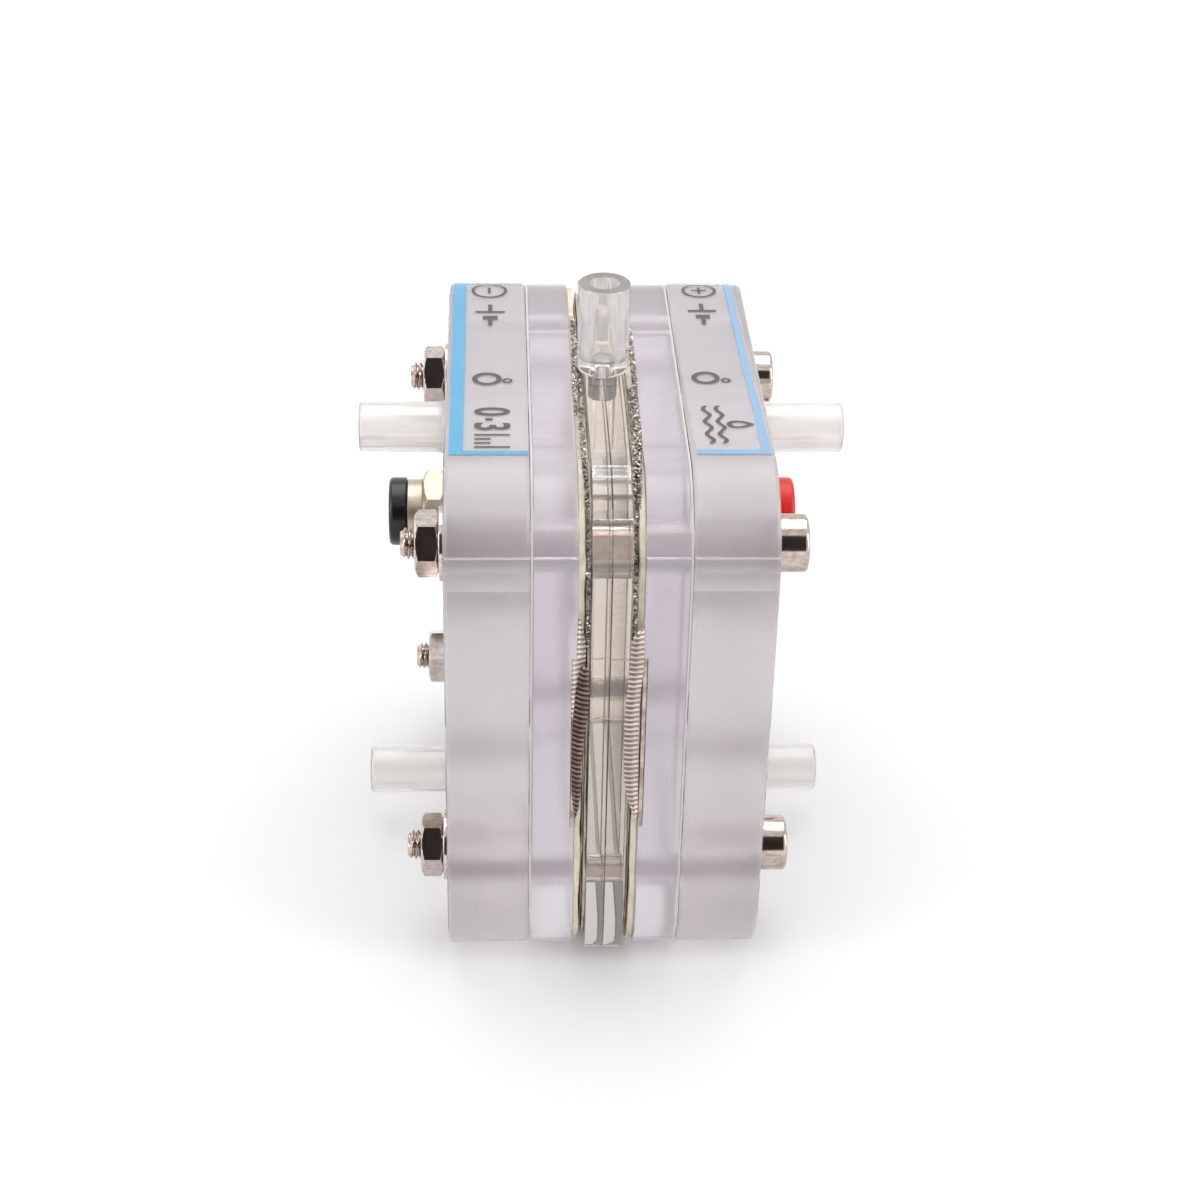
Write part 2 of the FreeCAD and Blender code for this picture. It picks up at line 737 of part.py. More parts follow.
for name, side in sides:
    outer_plate(name, side)
    inner_plate(name, side)
    centre_frame(name, side)
    gasket(name, side)
    membrane(name, side)
    frame_seal(name, side)
    oxygen_electrode(name, side)
    hydrogen_electrode(name, side)
    collector(name, side)
    hose_stub("hose_stub_%s_upper" % name, side, port_up)
    hose_stub("hose_stub_%s_lower" % name, side, "-" + port_up)
    jack(name, side)
    jack_ring(name, side)
    washer(
        "jack_washer_" + name, outer_face_at, jack_across, "plate_side / 2 + " + jack_up,
        "jack_washer_diameter", "jack_thread + 2 * jack_hole_gap", "jack_washer_thickness", side,
    )
    label(name, side)
hydrogen_outlet()
for depth, across in (("front", "-" + bolt_place), ("rear", bolt_place)):
    for level, up in (("upper", bolt_place), ("lower", "-" + bolt_place)):
        corner = depth + "_" + level
        bolt(corner, across, up)
        nut(corner, across, up)
        for end, side in (("nut", -1), ("head", 1)):
            washer(
                "%s_washer_%s" % (end, corner), outer_face_at, across, "plate_side / 2 + " + up,
                "washer_diameter", bolt_hole, "washer_thickness", side,
            )
doc.recompute()

# Nothing is written unless every piece came out whole
for item in doc.Objects:
    if "Invalid" in item.State or "Error" in item.State:
        raise RuntimeError(item.Name + " failed")
pieces = [item for item in doc.Objects if item.isDerivedFrom("PartDesign::Body")]
for piece in pieces:
    if piece.Shape.isNull() or not piece.Shape.isValid() or len(piece.Shape.Solids) != 1:
        raise RuntimeError(piece.Label + " is not one sound solid")
os.makedirs("parts", exist_ok=True)
for piece in pieces:
    piece.Shape.exportStep("parts/%s.step" % piece.Label)
print(len(pieces), "pieces written")
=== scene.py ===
import math

import bmesh
import bpy
from mathutils import Matrix, Vector, noise


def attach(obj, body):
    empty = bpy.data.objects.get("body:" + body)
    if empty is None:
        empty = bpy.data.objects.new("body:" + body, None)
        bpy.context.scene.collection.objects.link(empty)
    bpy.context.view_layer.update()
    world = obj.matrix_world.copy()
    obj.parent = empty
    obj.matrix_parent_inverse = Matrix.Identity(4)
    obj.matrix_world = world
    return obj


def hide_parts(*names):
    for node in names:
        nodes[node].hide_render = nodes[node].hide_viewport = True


mm = 0.001  # sizes below are in millimetres, and the scene is in metres
sides = (("Left", -1), ("Right", 1))

# places that the pieces share, from the middle of the stack and from the ground
stackValues = {
    "side": 54,
    "middle": 27,
    "frameFace": 1.85,
    "innerFace": 3.0,
    "cementPlane": 7.2,
    "outerFace": 15.2,
    "window": (27, 45),
    "windowCorner": 3,
    "openingReach": (14.5, 23.5),  # the acrylic's openings and their walls lie within this of the middle
    "boltPlace": 17.5,
    "portUp": 20.6,
}

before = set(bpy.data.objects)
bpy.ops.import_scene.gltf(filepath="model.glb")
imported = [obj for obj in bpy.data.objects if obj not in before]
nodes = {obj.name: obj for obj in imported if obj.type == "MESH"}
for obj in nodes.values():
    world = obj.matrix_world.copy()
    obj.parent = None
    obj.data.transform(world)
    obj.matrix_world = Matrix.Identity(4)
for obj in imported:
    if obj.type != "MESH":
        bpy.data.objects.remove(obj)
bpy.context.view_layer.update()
scene = bpy.context.scene
scene.view_settings.view_transform = "Standard"
print("frame loaded,", len(nodes), "nodes")


# small helpers

def linearColour(hexText):
    # one hex colour as it is seen on a screen, turned to the linear values that shaders take
    values = []
    for place in (1, 3, 5):
        c = int(hexText[place:place + 2], 16) / 255
        values.append(c / 12.92 if c <= 0.04045 else ((c + 0.055) / 1.055) ** 2.4)
    return (*values, 1.0)


def setInputs(node, inputs):
    # an input takes a value or another node's output; a bare node stands for its first live output
    for name, value in inputs.items():
        if isinstance(value, bpy.types.Node):
            value = next(socket for socket in value.outputs if socket.enabled)
        if isinstance(value, bpy.types.NodeSocket):
            node.id_data.links.new(value, node.inputs[name])
        else:
            node.inputs[name].default_value = value


def addNode(tree, kind, inputs=None, **settings):
    node = tree.nodes.new(kind)
    for name, value in settings.items():
        setattr(node, name, value)
    setInputs(node, inputs or {})
    return node


def newMaterial(name):
    material = bpy.data.materials.new(name)
    material.use_nodes = True
    tree = material.node_tree
    tree.nodes.clear()
    shader = addNode(tree, "ShaderNodeBsdfPrincipled")
    addNode(tree, "ShaderNodeOutputMaterial", {"Surface": shader})
    return material, tree, shader


def span(sign, near, far):
    # the lower and the higher of two places, on the right side or mirrored to the left
    return sorted((sign * near, sign * far))


def surfacePattern(tree, lengths, detail=2.0, harshness=0.5):
    # a cloudy pattern on object coordinates, with a length in millimetres along each axis
    place = addNode(tree, "ShaderNodeTexCoord").outputs["Object"]
    scale = [1000 / length for length in lengths]
    place = addNode(tree, "ShaderNodeMapping", {"Scale": scale, "Vector": place})
    return addNode(tree, "ShaderNodeTexNoise", {
        "Scale": 1.0, "Detail": detail, "Roughness": harshness, "Vector": place})


def newObject(name, data):
    made = bpy.data.objects.new(name, data)
    scene.collection.objects.link(made)
    return made


def addObject(name, mesh, material, slotName, *replaced):
    piece = newObject(name, mesh)
    mesh.materials.clear()
    mesh.materials.append(material)
    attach(piece, "root")
    if replaced:
        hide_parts(*replaced)
    return piece


def addOnSide(side, name, mesh, material, slotName, node):
    addObject(name + side, mesh, material, slotName, node + "_" + side.lower())


def workedMesh(name, work):
    mesh = bpy.data.meshes.new(name)
    work.to_mesh(mesh)
    work.free()
    return mesh


def plainMesh(name, corners, faces, edges=()):
    mesh = bpy.data.meshes.new(name)
    mesh.from_pydata([Vector(corner) * mm for corner in corners], edges, [tuple(face) for face in faces])
    return mesh


def gridFaces(rows, wide, ringed=False, closed=False):
    # faces between rows of corners, round each row if ringed, and from the last row to the first if closed
    faces = []
    for row in range(rows if closed else rows - 1):
        here, after = row * wide, (row + 1) % rows * wide
        for column in range(wide if ringed else wide - 1):
            beside = (column + 1) % wide
            faces.append((here + column, here + beside, after + beside, after + column))
    return faces


def tidyMesh(mesh, sharpAngle=32):
    # joins loose corners, turns the faces outwards and shades everything smooth but the sharp edges
    work = bmesh.new()
    work.from_mesh(mesh)
    bmesh.ops.remove_doubles(work, verts=work.verts, dist=1e-6)
    bmesh.ops.recalc_face_normals(work, faces=work.faces)
    work.to_mesh(mesh)
    work.free()
    mesh.polygons.foreach_set("use_smooth", [True] * len(mesh.polygons))
    mesh.set_sharp_from_angle(angle=math.radians(sharpAngle))
    mesh.update()
    return mesh


def evaluatedMesh(helper):
    # the finished mesh of a helper object, which is then thrown away
    bpy.context.view_layer.update()
    mesh = bpy.data.meshes.new_from_object(helper.evaluated_get(bpy.context.evaluated_depsgraph_get()))
    bpy.data.objects.remove(helper)
    return mesh


def cutAway(mesh, *cutters):
    helper = newObject("cutHelper", mesh)
    tools = [newObject("cutTool", cutter) for cutter in cutters]
    for tool in tools:
        modifier = helper.modifiers.new("cut", "BOOLEAN")
        modifier.operation = "DIFFERENCE"
        modifier.solver = "EXACT"
        modifier.object = tool
    result = evaluatedMesh(helper)
    for tool in tools:
        bpy.data.objects.remove(tool)
    return tidyMesh(result, 8)


def boxMesh(low, high):
    work = bmesh.new()
    bmesh.ops.create_cube(work, size=1)
    for vertex in work.verts:
        vertex.co = [(l + (c + 0.5) * (h - l)) * mm for c, l, h in zip(vertex.co, low, high)]
    return workedMesh("box", work)


def joinMeshes(name, meshes):
    work = bmesh.new()
    for mesh in meshes:
        work.from_mesh(mesh)
    return workedMesh(name, work)


def filledCurve(name, outlines):
    # a flat curve filled between closed outlines
    curve = bpy.data.curves.new(name, "CURVE")
    curve.dimensions = "2D"
    curve.fill_mode = "BOTH"
    for outline in outlines:
        spline = curve.splines.new("POLY")
        spline.points.add(len(outline) - 1)
        for point, (a, b) in zip(spline.points, outline):
            point.co = (a * mm, b * mm, 0, 1)
        spline.use_cyclic_u = True
    return curve


def edgesAt(rows, place):
    # the two edges of a strip, given as rows of (place, one edge, other edge), at a place between two rows
    for (p1, a1, b1), (p2, a2, b2) in zip(rows, rows[1:]):
        if min(p1, p2) - 1e-6 <= place <= max(p1, p2) + 1e-6:
            t = (place - p1) / (p2 - p1)
            return a1 + (a2 - a1) * t, b1 + (b2 - b1) * t


# turned shapes

def turnedMesh(name, rings, steps=48, centre=(0, 0), closed=False, upright=False):
    # a shape turned about X, or about Z if upright: rings of (place along the axis, radius), where a radius
    # may be a function of the angle
    corners = []
    for along, radius in rings:
        for step in range(steps):
            angle = 2 * math.pi * step / steps
            r = radius(angle) if callable(radius) else radius
            a, b = centre[0] + r * math.cos(angle), centre[1] + r * math.sin(angle)
            corners.append((a, b, along) if upright else (along, a, b))
    faces = gridFaces(len(rings), steps, ringed=True, closed=closed)
    if not closed:
        faces += [range(steps), range(len(corners) - steps, len(corners))]
    return tidyMesh(plainMesh(name, corners, faces))


def facing(sign, rings):
    # rings laid out for the right side, or mirrored to the left
    return [(sign * along, radius) for along, radius in rings]


def softProfile(points, closed=False, steps=4):
    # rounds the corners of a turned profile; each point is (along, radius, softness)
    rings = []
    for index, (along, radius, softness) in enumerate(points):
        ends = not closed and index in (0, len(points) - 1)
        if not softness or ends:
            rings.append((along, radius))
            continue
        here = Vector((along, radius))
        before = Vector(points[index - 1][:2])
        after = Vector(points[(index + 1) % len(points)][:2])
        start = here + (before - here).normalized() * softness
        end = here + (after - here).normalized() * softness
        for step in range(steps + 1):
            t = step / steps
            rings.append(tuple((1 - t) ** 2 * start + 2 * t * (1 - t) * here + t * t * end))
    return rings


def hexagonRadius(flats, turn):
    def radius(angle):
        across = (angle - math.radians(turn)) % (math.pi / 3)
        return flats / 2 / math.cos(across - math.pi / 6)
    return radius


def cornerCut(shape, limit):
    return lambda angle: min(shape(angle), limit)


def chamferedEnd(shape, at, way, startRadius, flats):
    # rings that turn the corners of a hexagon down at 30 degrees
    corner = flats / 2 / math.cos(math.pi / 6)
    depth = (corner - startRadius) * 0.577  # tangent of 30 degrees
    steps, spare = 6, 0.01
    rings = []
    for step in range(steps + 1):
        limit = startRadius + (corner + spare - startRadius) * step / steps
        rings.append((at + way * depth * step / steps, cornerCut(shape, limit)))
    return rings


def threadRings(v, start, end, runOut=False):
    # rings of a 60 degree thread, flat at its crest and root, pointed at its tip and fading out at its end
    flat, flank = 0.15, 0.7  # as shares of half a turn
    tipSlope, ringsEachTurn = 0.9, 8

    def threadRadius(along, depth, limit):
        def radius(angle):
            turn = (along / v["threadPitch"] + angle / (2 * math.pi)) % 1
            fall = min(max((abs(turn - 0.5) * 2 - flat) / flank, 0), 1)
            return min(v["thread"] / 2 - depth * fall, limit)
        return radius

    rings = []
    along = start
    while along < end:
        fade = max(0, 1 - max(0, along - end + 1)) if runOut else 1
        limit = v["tipRadius"] + (along - start) * tipSlope
        rings.append((along, threadRadius(along, v["threadDepth"] * fade, limit)))
        along += v["threadPitch"] / ringsEachTurn
    return rings


# camera, floor and light

cameraValues = {
    "place": (-10.40, -212.57, 158.00),
    "yaw": 2.877,
    "pitch": 31.505,
    "roll": -1.376,
    "lens": 72.64,
}


def makeCamera(v):
    yaw, pitch, roll = (math.radians(v[key]) for key in ("yaw", "pitch", "roll"))
    ahead = Vector((math.sin(yaw) * math.cos(pitch), math.cos(yaw) * math.cos(pitch), -math.sin(pitch)))
    level = Vector((math.cos(yaw), -math.sin(yaw), 0))
    down = ahead.cross(level)
    right = level * math.cos(roll) + down * math.sin(roll)
    up = level * math.sin(roll) - down * math.cos(roll)
    data = bpy.data.cameras.new("camera")
    data.lens = v["lens"]
    data.sensor_width = 36
    data.clip_start = 0.005
    data.clip_end = 20
    camera = newObject("camera", data)
    turn = Matrix((right, up, -ahead)).transposed().to_4x4()
    camera.matrix_world = Matrix.Translation(Vector(v["place"]) * mm) @ turn
    scene.camera = camera


makeCamera(cameraValues)

white = "#ffffff"
stageValues = {
    "floorSize": 3000,
    "floorColour": "#f4f4f5",
    "skyStrength": 0.48,
    "whitening": 0.08,  # glow of the floor near the object, which fades to the next far away
    "farWhitening": 0.95,
    "fadeFrom": 130,
    "fadeTo": 600,
    "seenThrough": 0.6,  # how much paler the floor is through the acrylic
    "paleFloor": 0.9,
    "cardRadius": 420,
    "cardHalfWidth": 170,
    "cardLow": 3,  # degrees above the floor
    "cardHigh": 60,
    "cardColour": "#1d1513",
    "lampTarget": (0, 0, 30),
}
lamps = (
    ("topSoftbox", (0, 170, 500), (520, 420), 1.65),
    ("leftSoftbox", (-430, -180, 240), (120, 380), 0.86),
    ("rightSoftbox", (430, -180, 240), (120, 380), 0.86),
)


def lookedAt(tree, path):
    # one for rays that look at a surface, in the open, in a mirror or through glass, and nought for its light
    seen = addNode(tree, "ShaderNodeMath", {
        0: path.outputs["Is Camera Ray"], 1: path.outputs["Is Glossy Ray"]}, operation="MAXIMUM")
    through = path.outputs["Is Transmission Ray"]
    return addNode(tree, "ShaderNodeMath", {0: seen, 1: through}, operation="MAXIMUM")


def makeFloor(v):
    # the floor shows white to the camera and still takes the object's shadow
    material, tree, shader = newMaterial("paintedStudioFloor")
    colour = linearColour(v["floorColour"])
    setInputs(shader, {"Base Color": colour, "Roughness": 0.9, "Specular IOR Level": 0.1})
    path = addNode(tree, "ShaderNodeLightPath")
    place = addNode(tree, "ShaderNodeTexCoord").outputs["Object"]
    away = addNode(tree, "ShaderNodeVectorMath", {0: place}, operation="LENGTH")
    fade = addNode(tree, "ShaderNodeMapRange", {
        "Value": away, "From Min": v["fadeFrom"] * mm, "From Max": v["fadeTo"] * mm,
        "To Min": v["whitening"], "To Max": v["farWhitening"]})
    glow = addNode(tree, "ShaderNodeEmission", {"Color": linearColour(white), "Strength": fade})
    lift = addNode(tree, "ShaderNodeAddShader", {0: shader, 1: glow})  # the far floor runs into white
    seen = addNode(tree, "ShaderNodeMixShader", {0: lookedAt(tree, path), 1: shader, 2: lift})
    pale = addNode(tree, "ShaderNodeEmission", {"Color": linearColour(white), "Strength": v["paleFloor"]})
    inside = addNode(tree, "ShaderNodeMath", {
        0: path.outputs["Is Transmission Ray"], 1: v["seenThrough"]}, operation="MULTIPLY")
    glass = addNode(tree, "ShaderNodeMixShader", {0: inside, 1: seen, 2: pale})  # the acrylic shows it paler
    output = next(node for node in tree.nodes if node.type == "OUTPUT_MATERIAL")
    setInputs(output, {"Surface": glass})
    work = bmesh.new()
    bmesh.ops.create_grid(work, x_segments=1, y_segments=1, size=v["floorSize"] * mm / 2)
    mesh = workedMesh("studioFloor", work)
    mesh.materials.append(material)
    floor = newObject("studioFloor", mesh)


def makeDarkCard(v):
    # a black card over the camera's side, which only mirrors such as bright nickel show
    rows = 13
    corners = []
    for row in range(rows):
        angle = math.radians(v["cardLow"] + (v["cardHigh"] - v["cardLow"]) * row / (rows - 1))
        y, z = -v["cardRadius"] * math.cos(angle), v["cardRadius"] * math.sin(angle)
        corners += [(-v["cardHalfWidth"], y, z), (v["cardHalfWidth"], y, z)]
    mesh = plainMesh("darkCard", corners, gridFaces(rows, 2))
    material, _, shader = newMaterial("blackFoamCard")
    setInputs(shader, {"Base Color": linearColour(v["cardColour"]), "Roughness": 0.9})
    mesh.materials.append(material)
    card = newObject("darkCard", mesh)
    for ray in ("camera", "diffuse", "transmission", "volume_scatter", "shadow"):
        setattr(card, "visible_" + ray, False)


def makeWorld(v):
    world = bpy.data.worlds.new("studioSky")
    scene.world = world
    world.use_nodes = True
    tree = world.node_tree
    tree.nodes.clear()
    sky = addNode(tree, "ShaderNodeBackground", {"Color": linearColour(white), "Strength": v["skyStrength"]})
    backdrop = addNode(tree, "ShaderNodeBackground", {"Color": linearColour(white), "Strength": 1.0})
    seen = lookedAt(tree, addNode(tree, "ShaderNodeLightPath"))
    mix = addNode(tree, "ShaderNodeMixShader", {0: seen, 1: sky, 2: backdrop})
    addNode(tree, "ShaderNodeOutputWorld", {"Surface": mix})


def makeLamp(name, place, size, power, target):
    data = bpy.data.lights.new(name, "AREA")
    data.shape = "RECTANGLE"
    data.size = size[0] * mm
    data.size_y = size[1] * mm
    data.energy = power
    lamp = newObject(name, data)
    lamp.location = Vector(place) * mm
    lamp.rotation_euler = (Vector(target) - Vector(place)).to_track_quat("-Z", "Y").to_euler()
    lamp.visible_camera = False


makeFloor(stageValues)
makeDarkCard(stageValues)
makeWorld(stageValues)
for lamp in lamps:
    makeLamp(*lamp, stageValues["lampTarget"])
print("camera, floor and lights made")


# materials

# what the materials of one kind share; a gloss is the least and the most of a roughness, as shares of it
finishValues = {
    "acrylicIor": 1.49,
    "acrylicGloss": (0.7, 1.35),
    "tubeGloss": (0.6, 1.4),
    "tubeEnd": (0.5, 0.8),  # how squarely a face looks along the tube before it counts as sawn
    "nickelGloss": (0.7, 1.35),
    "nickelClouds": (0.38, 0.66),  # where the pattern turns from the first colour to the second
    # where the painted shade of a rib's groove gives way to the colour of its crest
    "wornCrest": (0.35, 0.7),
    "sheetStainsTo": 0.85,
    "sheetGrain": 0.25,  # real rubber is finer, and this is as coarse as it needs to show
    "sheetGrainDepth": 0.03,
    "sheetGloss": 0.1,
    "absFlow": 3,
    "absGrain": 0.12,  # coarser than a real mould's grain, so that it shows
    "absGrainDepth": 0.004,
    "absGloss": 0.06,
    "filmGloss": (0.7, 1.3),
}


def letLightThrough(tree, shader, share):
    # lamps shine through clear plastic, so what lies inside is lit and the shadow stays pale
    path = addNode(tree, "ShaderNodeLightPath")
    cover = addNode(tree, "ShaderNodeMapRange", {
        "Value": path.outputs["Is Shadow Ray"], "To Min": 1.0, "To Max": 1 - share})
    setInputs(shader, {"Alpha": cover})


def facingAlong(tree, axis):
    # one on a face that looks along an axis, and nought on a face that lies along it
    normal = addNode(tree, "ShaderNodeNewGeometry").outputs["True Normal"]
    split = addNode(tree, "ShaderNodeSeparateXYZ", {"Vector": normal})
    return addNode(tree, "ShaderNodeMath", {0: split.outputs[axis]}, operation="ABSOLUTE")


def turnedOver(tree, value, low, high):
    # a value stretched so that it runs from nought at one place to one at another
    return addNode(tree, "ShaderNodeMapRange", {"Value": value, "From Min": low, "From Max": high})


def cloudedColour(tree, colours, clouds):
    # two colours mixed by a pattern
    first, second = (linearColour(colour) for colour in colours)
    return addNode(tree, "ShaderNodeMix", {0: clouds, 6: first, 7: second}, data_type="RGBA")


def grainedSurface(tree, shader, clouds, low, high, grain, depth, strength):
    # roughness between two values from one pattern, and a bump so many millimetres deep from another
    rough = addNode(tree, "ShaderNodeMapRange", {"Value": clouds, "To Min": low, "To Max": high})
    bump = addNode(tree, "ShaderNodeBump", {"Height": grain, "Distance": depth * mm, "Strength": strength})
    setInputs(shader, {"Roughness": rough, "Normal": bump})
    return rough


def makeAcrylic(name, v):
    # cast PMMA sheet: clear and glossy on its big faces, while the saw and a light polish leave its edges
    # satin with fine lines along the stack, so what lies inside shows softly through them; the lines are
    # drawn coarser than a saw leaves them, so that they show
    material, tree, shader = newMaterial(name)
    tint = cloudedColour(tree, v["tints"], surfacePattern(tree, v["cloudSize"], 3.0))
    cut = addNode(tree, "ShaderNodeMath", {0: facingAlong(tree, "X"), 1: 0.9}, operation="LESS_THAN")
    place = addNode(tree, "ShaderNodeTexCoord").outputs["Object"]
    place = addNode(tree, "ShaderNodeSeparateXYZ", {"Vector": place})
    reach, rise = (length * mm for length in stackValues["openingReach"])
    out = addNode(tree, "ShaderNodeMath", {0: place.outputs["Y"], 1: 0.0, 2: reach}, operation="COMPARE")
    up = addNode(tree, "ShaderNodeMath", {
        0: place.outputs["Z"], 1: stackValues["middle"] * mm, 2: rise}, operation="COMPARE")
    window = addNode(tree, "ShaderNodeMath", {0: out, 1: up}, operation="MULTIPLY")  # walls of the openings
    edge = addNode(tree, "ShaderNodeMath", {0: cut, 1: window}, operation="SUBTRACT", use_clamp=True)
    clear = addNode(tree, "ShaderNodeMapRange", {"Value": edge, "To Min": 1.0, "To Max": 1 - v["milk"]})
    patches, lines = surfacePattern(tree, v["patchSize"]), surfacePattern(tree, v["sawLines"])
    strength = addNode(tree, "ShaderNodeMath", {0: edge, 1: v["sawStrength"]}, operation="MULTIPLY")
    low, high = (v["edgeRoughness"] * share for share in finishValues["acrylicGloss"])
    satin = grainedSurface(tree, shader, patches, low, high, lines, v["sawDepth"], strength)
    rough = addNode(tree, "ShaderNodeMix", {0: edge, 2: v["faceRoughness"], 3: satin}, data_type="FLOAT")
    setInputs(shader, {
        "Base Color": tint, "IOR": finishValues["acrylicIor"], "Transmission Weight": clear,
        "Roughness": rough})
    letLightThrough(tree, shader, v["passes"])
    return material


def makeTubeAcrylic(name, v):
    # extruded PMMA tube, cut to length: faint draw lines along it, a pale haze in the milky kind, and a rough
    # sawn end, whose darker colour is painted shade
    material, tree, shader = newMaterial(name)
    lines = surfacePattern(tree, v["drawLines"])
    tint = cloudedColour(tree, v["tints"], lines)
    along = facingAlong(tree, v["axis"])
    sawn = turnedOver(tree, along, *finishValues["tubeEnd"])
    # painted shade: the end faces take a darker colour
    end = linearColour(v["shadedEndColour"])
    colour = addNode(tree, "ShaderNodeMix", {0: sawn, 6: tint, 7: end}, data_type="RGBA")
    low, high = (v["roughness"] * share for share in finishValues["tubeGloss"])
    rough = grainedSurface(tree, shader, lines, low, high, lines, v["lineDepth"], 0.5)
    satin = addNode(tree, "ShaderNodeMath", {
        0: sawn, 1: v["sawnRoughness"], 2: rough}, operation="MULTIPLY_ADD")
    setInputs(shader, {
        "Base Color": colour, "IOR": finishValues["acrylicIor"], "Transmission Weight": 1 - v["milk"],
        "Roughness": satin})
    letLightThrough(tree, shader, v["passes"])
    return material


def makeNickel(name, v):
    # bright nickel plate: a warm white mirror with dull clouds, scratches drawn coarse enough to show, and a
    # little grime; the dark clouds of the crumpled edges and the groove colour of rolled ribs are painted
    # shade
    material, tree, shader = newMaterial(name)
    clouds = surfacePattern(tree, v["cloudSize"], 4.0, 0.6)
    shade = cloudedColour(tree, v["colours"], turnedOver(tree, clouds, *finishValues["nickelClouds"]))
    if "groove" in v:  # painted shade darkens the grooves between rolled ribs
        crest = addNode(tree, "ShaderNodeAttribute", attribute_name="crest").outputs["Fac"]
        worn = turnedOver(tree, crest, *finishValues["wornCrest"])
        groove = linearColour(v["groove"])
        shade = addNode(tree, "ShaderNodeMix", {0: worn, 6: groove, 7: shade}, data_type="RGBA")
    setInputs(shader, {"Base Color": shade, "Metallic": 1.0})
    scratches = surfacePattern(tree, v["scratchSize"], 3.0)
    low, high = (v["roughness"] * share for share in finishValues["nickelGloss"])
    grainedSurface(tree, shader, scratches, low, high, scratches, v["scratchDepth"], 0.6)
    return material


def makeSheetMaterial(name, v):
    # silicone rubber, ionomer and PTFE sheet: matte, a little uneven and stained along the cut edge
    material, tree, shader = newMaterial(name)
    clouds = surfacePattern(tree, v["stainSize"], 5.0, 0.65)
    stains = turnedOver(tree, clouds, v["stainFrom"], finishValues["sheetStainsTo"])
    setInputs(shader, {"Base Color": cloudedColour(tree, v["colours"], stains)})
    grain = surfacePattern(tree, (finishValues["sheetGrain"],) * 3)
    low, high = (v["roughness"] + way * finishValues["sheetGloss"] for way in (-1, 1))
    grainedSurface(tree, shader, grain, low, high, grain, finishValues["sheetGrainDepth"], 0.5)
    return material


def makeMouldedAbs(name, v):
    # moulded ABS: an even colour with a soft gloss, faint flow clouds and a fine mould grain
    material, tree, shader = newMaterial(name)
    flow, grain = (surfacePattern(tree, (finishValues[key],) * 3) for key in ("absFlow", "absGrain"))
    setInputs(shader, {"Base Color": cloudedColour(tree, v["colours"], flow)})
    low, high = (v["roughness"] + way * finishValues["absGloss"] for way in (-1, 1))
    grainedSurface(tree, shader, flow, low, high, grain, finishValues["absGrainDepth"], 0.4)
    return material


def makePrintedFilm(name, v):
    # clear polyester film and the ink on it: glossy, and rippled where the glue under it is uneven
    material, tree, shader = newMaterial(name)
    ripple = surfacePattern(tree, v["rippleSize"], 3.0)
    setInputs(shader, {"Base Color": cloudedColour(tree, v["colours"], ripple), "Alpha": v["cover"]})
    low, high = (v["roughness"] * share for share in finishValues["filmGloss"])
    grainedSurface(tree, shader, ripple, low, high, ripple, v["rippleDepth"], 0.5)
    return material


outerAcrylic = makeAcrylic("frostedCastAcrylic", {
    "tints": ("#ebe4e6", "#ded7da"), "cloudSize": (9, 14, 14), "milk": 0.27, "passes": 0.8,
    "faceRoughness": 0.05, "edgeRoughness": 0.34, "patchSize": (2.2, 5, 5),
    "sawLines": (4, 0.14, 0.14), "sawStrength": 0.35, "sawDepth": 0.01,
})
innerAcrylic = makeAcrylic("lilacCastAcrylic", {
    "tints": ("#f4eef4", "#e9e2ea"), "cloudSize": (9, 14, 14), "milk": 0.3, "passes": 0.8,
    "faceRoughness": 0.05, "edgeRoughness": 0.2, "patchSize": (2.2, 5, 5),
    "sawLines": (4, 0.12, 0.12), "sawStrength": 0.35, "sawDepth": 0.01,
})
clearAcrylic = makeAcrylic("polishedCastAcrylic", {
    "tints": ("#faf3ed", "#efe5dd"), "cloudSize": (6, 9, 9), "milk": 0.17, "passes": 0.88,
    "faceRoughness": 0.03, "edgeRoughness": 0.05, "patchSize": (2.2, 5, 5),
    "sawLines": (2.5, 0.3, 0.3), "sawStrength": 0.3, "sawDepth": 0.012,
})
# each tube's darker end colour is painted shade
stubAcrylic = makeTubeAcrylic("hazyAcrylicTube", {
    "tints": ("#fffdfc", "#f9f5f3"), "milk": 0.28, "passes": 0.85, "roughness": 0.08, "axis": "X",
    "shadedEndColour": "#b9b1ae", "sawnRoughness": 0.25, "drawLines": (6, 0.5, 0.5), "lineDepth": 0.02,
})
outletAcrylic = makeTubeAcrylic("polishedAcrylicTube", {
    "tints": ("#fffdfc", "#f8f6f4"), "milk": 0.14, "passes": 0.85, "roughness": 0.05, "axis": "Z",
    "shadedEndColour": "#b5aba6", "sawnRoughness": 0.25, "drawLines": (0.5, 0.5, 8), "lineDepth": 0.01,
})
brightNickel = makeNickel("brightNickelPlate", {
    "colours": ("#d9cfc9", "#bbada5"), "cloudSize": (0.7, 0.5, 0.5), "roughness": 0.13,
    "scratchSize": (0.5, 0.12, 0.12), "scratchDepth": 0.001,
})
threadNickel = makeNickel("nickelPlatedThread", {
    "colours": ("#cfc2ba", "#ab9b91"), "cloudSize": (0.8, 0.35, 0.35), "roughness": 0.15,
    "scratchSize": (0.4, 0.1, 0.1), "scratchDepth": 0.0015,
})
brassNickel = makeNickel("nickelPlatedBrass", {
    "colours": ("#c9beae", "#b0a28d"), "cloudSize": (2.5, 2.5, 2.5), "roughness": 0.34,
    "scratchSize": (0.15, 0.6, 0.6), "scratchDepth": 0.003,
})
expandedNickel = makeNickel("expandedNickelSheet", {
    "colours": ("#bfbcb4", "#77736b"), "cloudSize": (0.5, 0.5, 0.5), "roughness": 0.22,
    "scratchSize": (0.2, 0.2, 0.2), "scratchDepth": 0.01,
})
rolledNickel = makeNickel("flatRolledNickelMesh", {
    "colours": ("#f6eee6", "#e0d5c9"), "cloudSize": (1.5, 1.5, 1.5), "roughness": 0.16,
    "scratchSize": (0.3, 0.3, 0.3), "scratchDepth": 0.01,
})
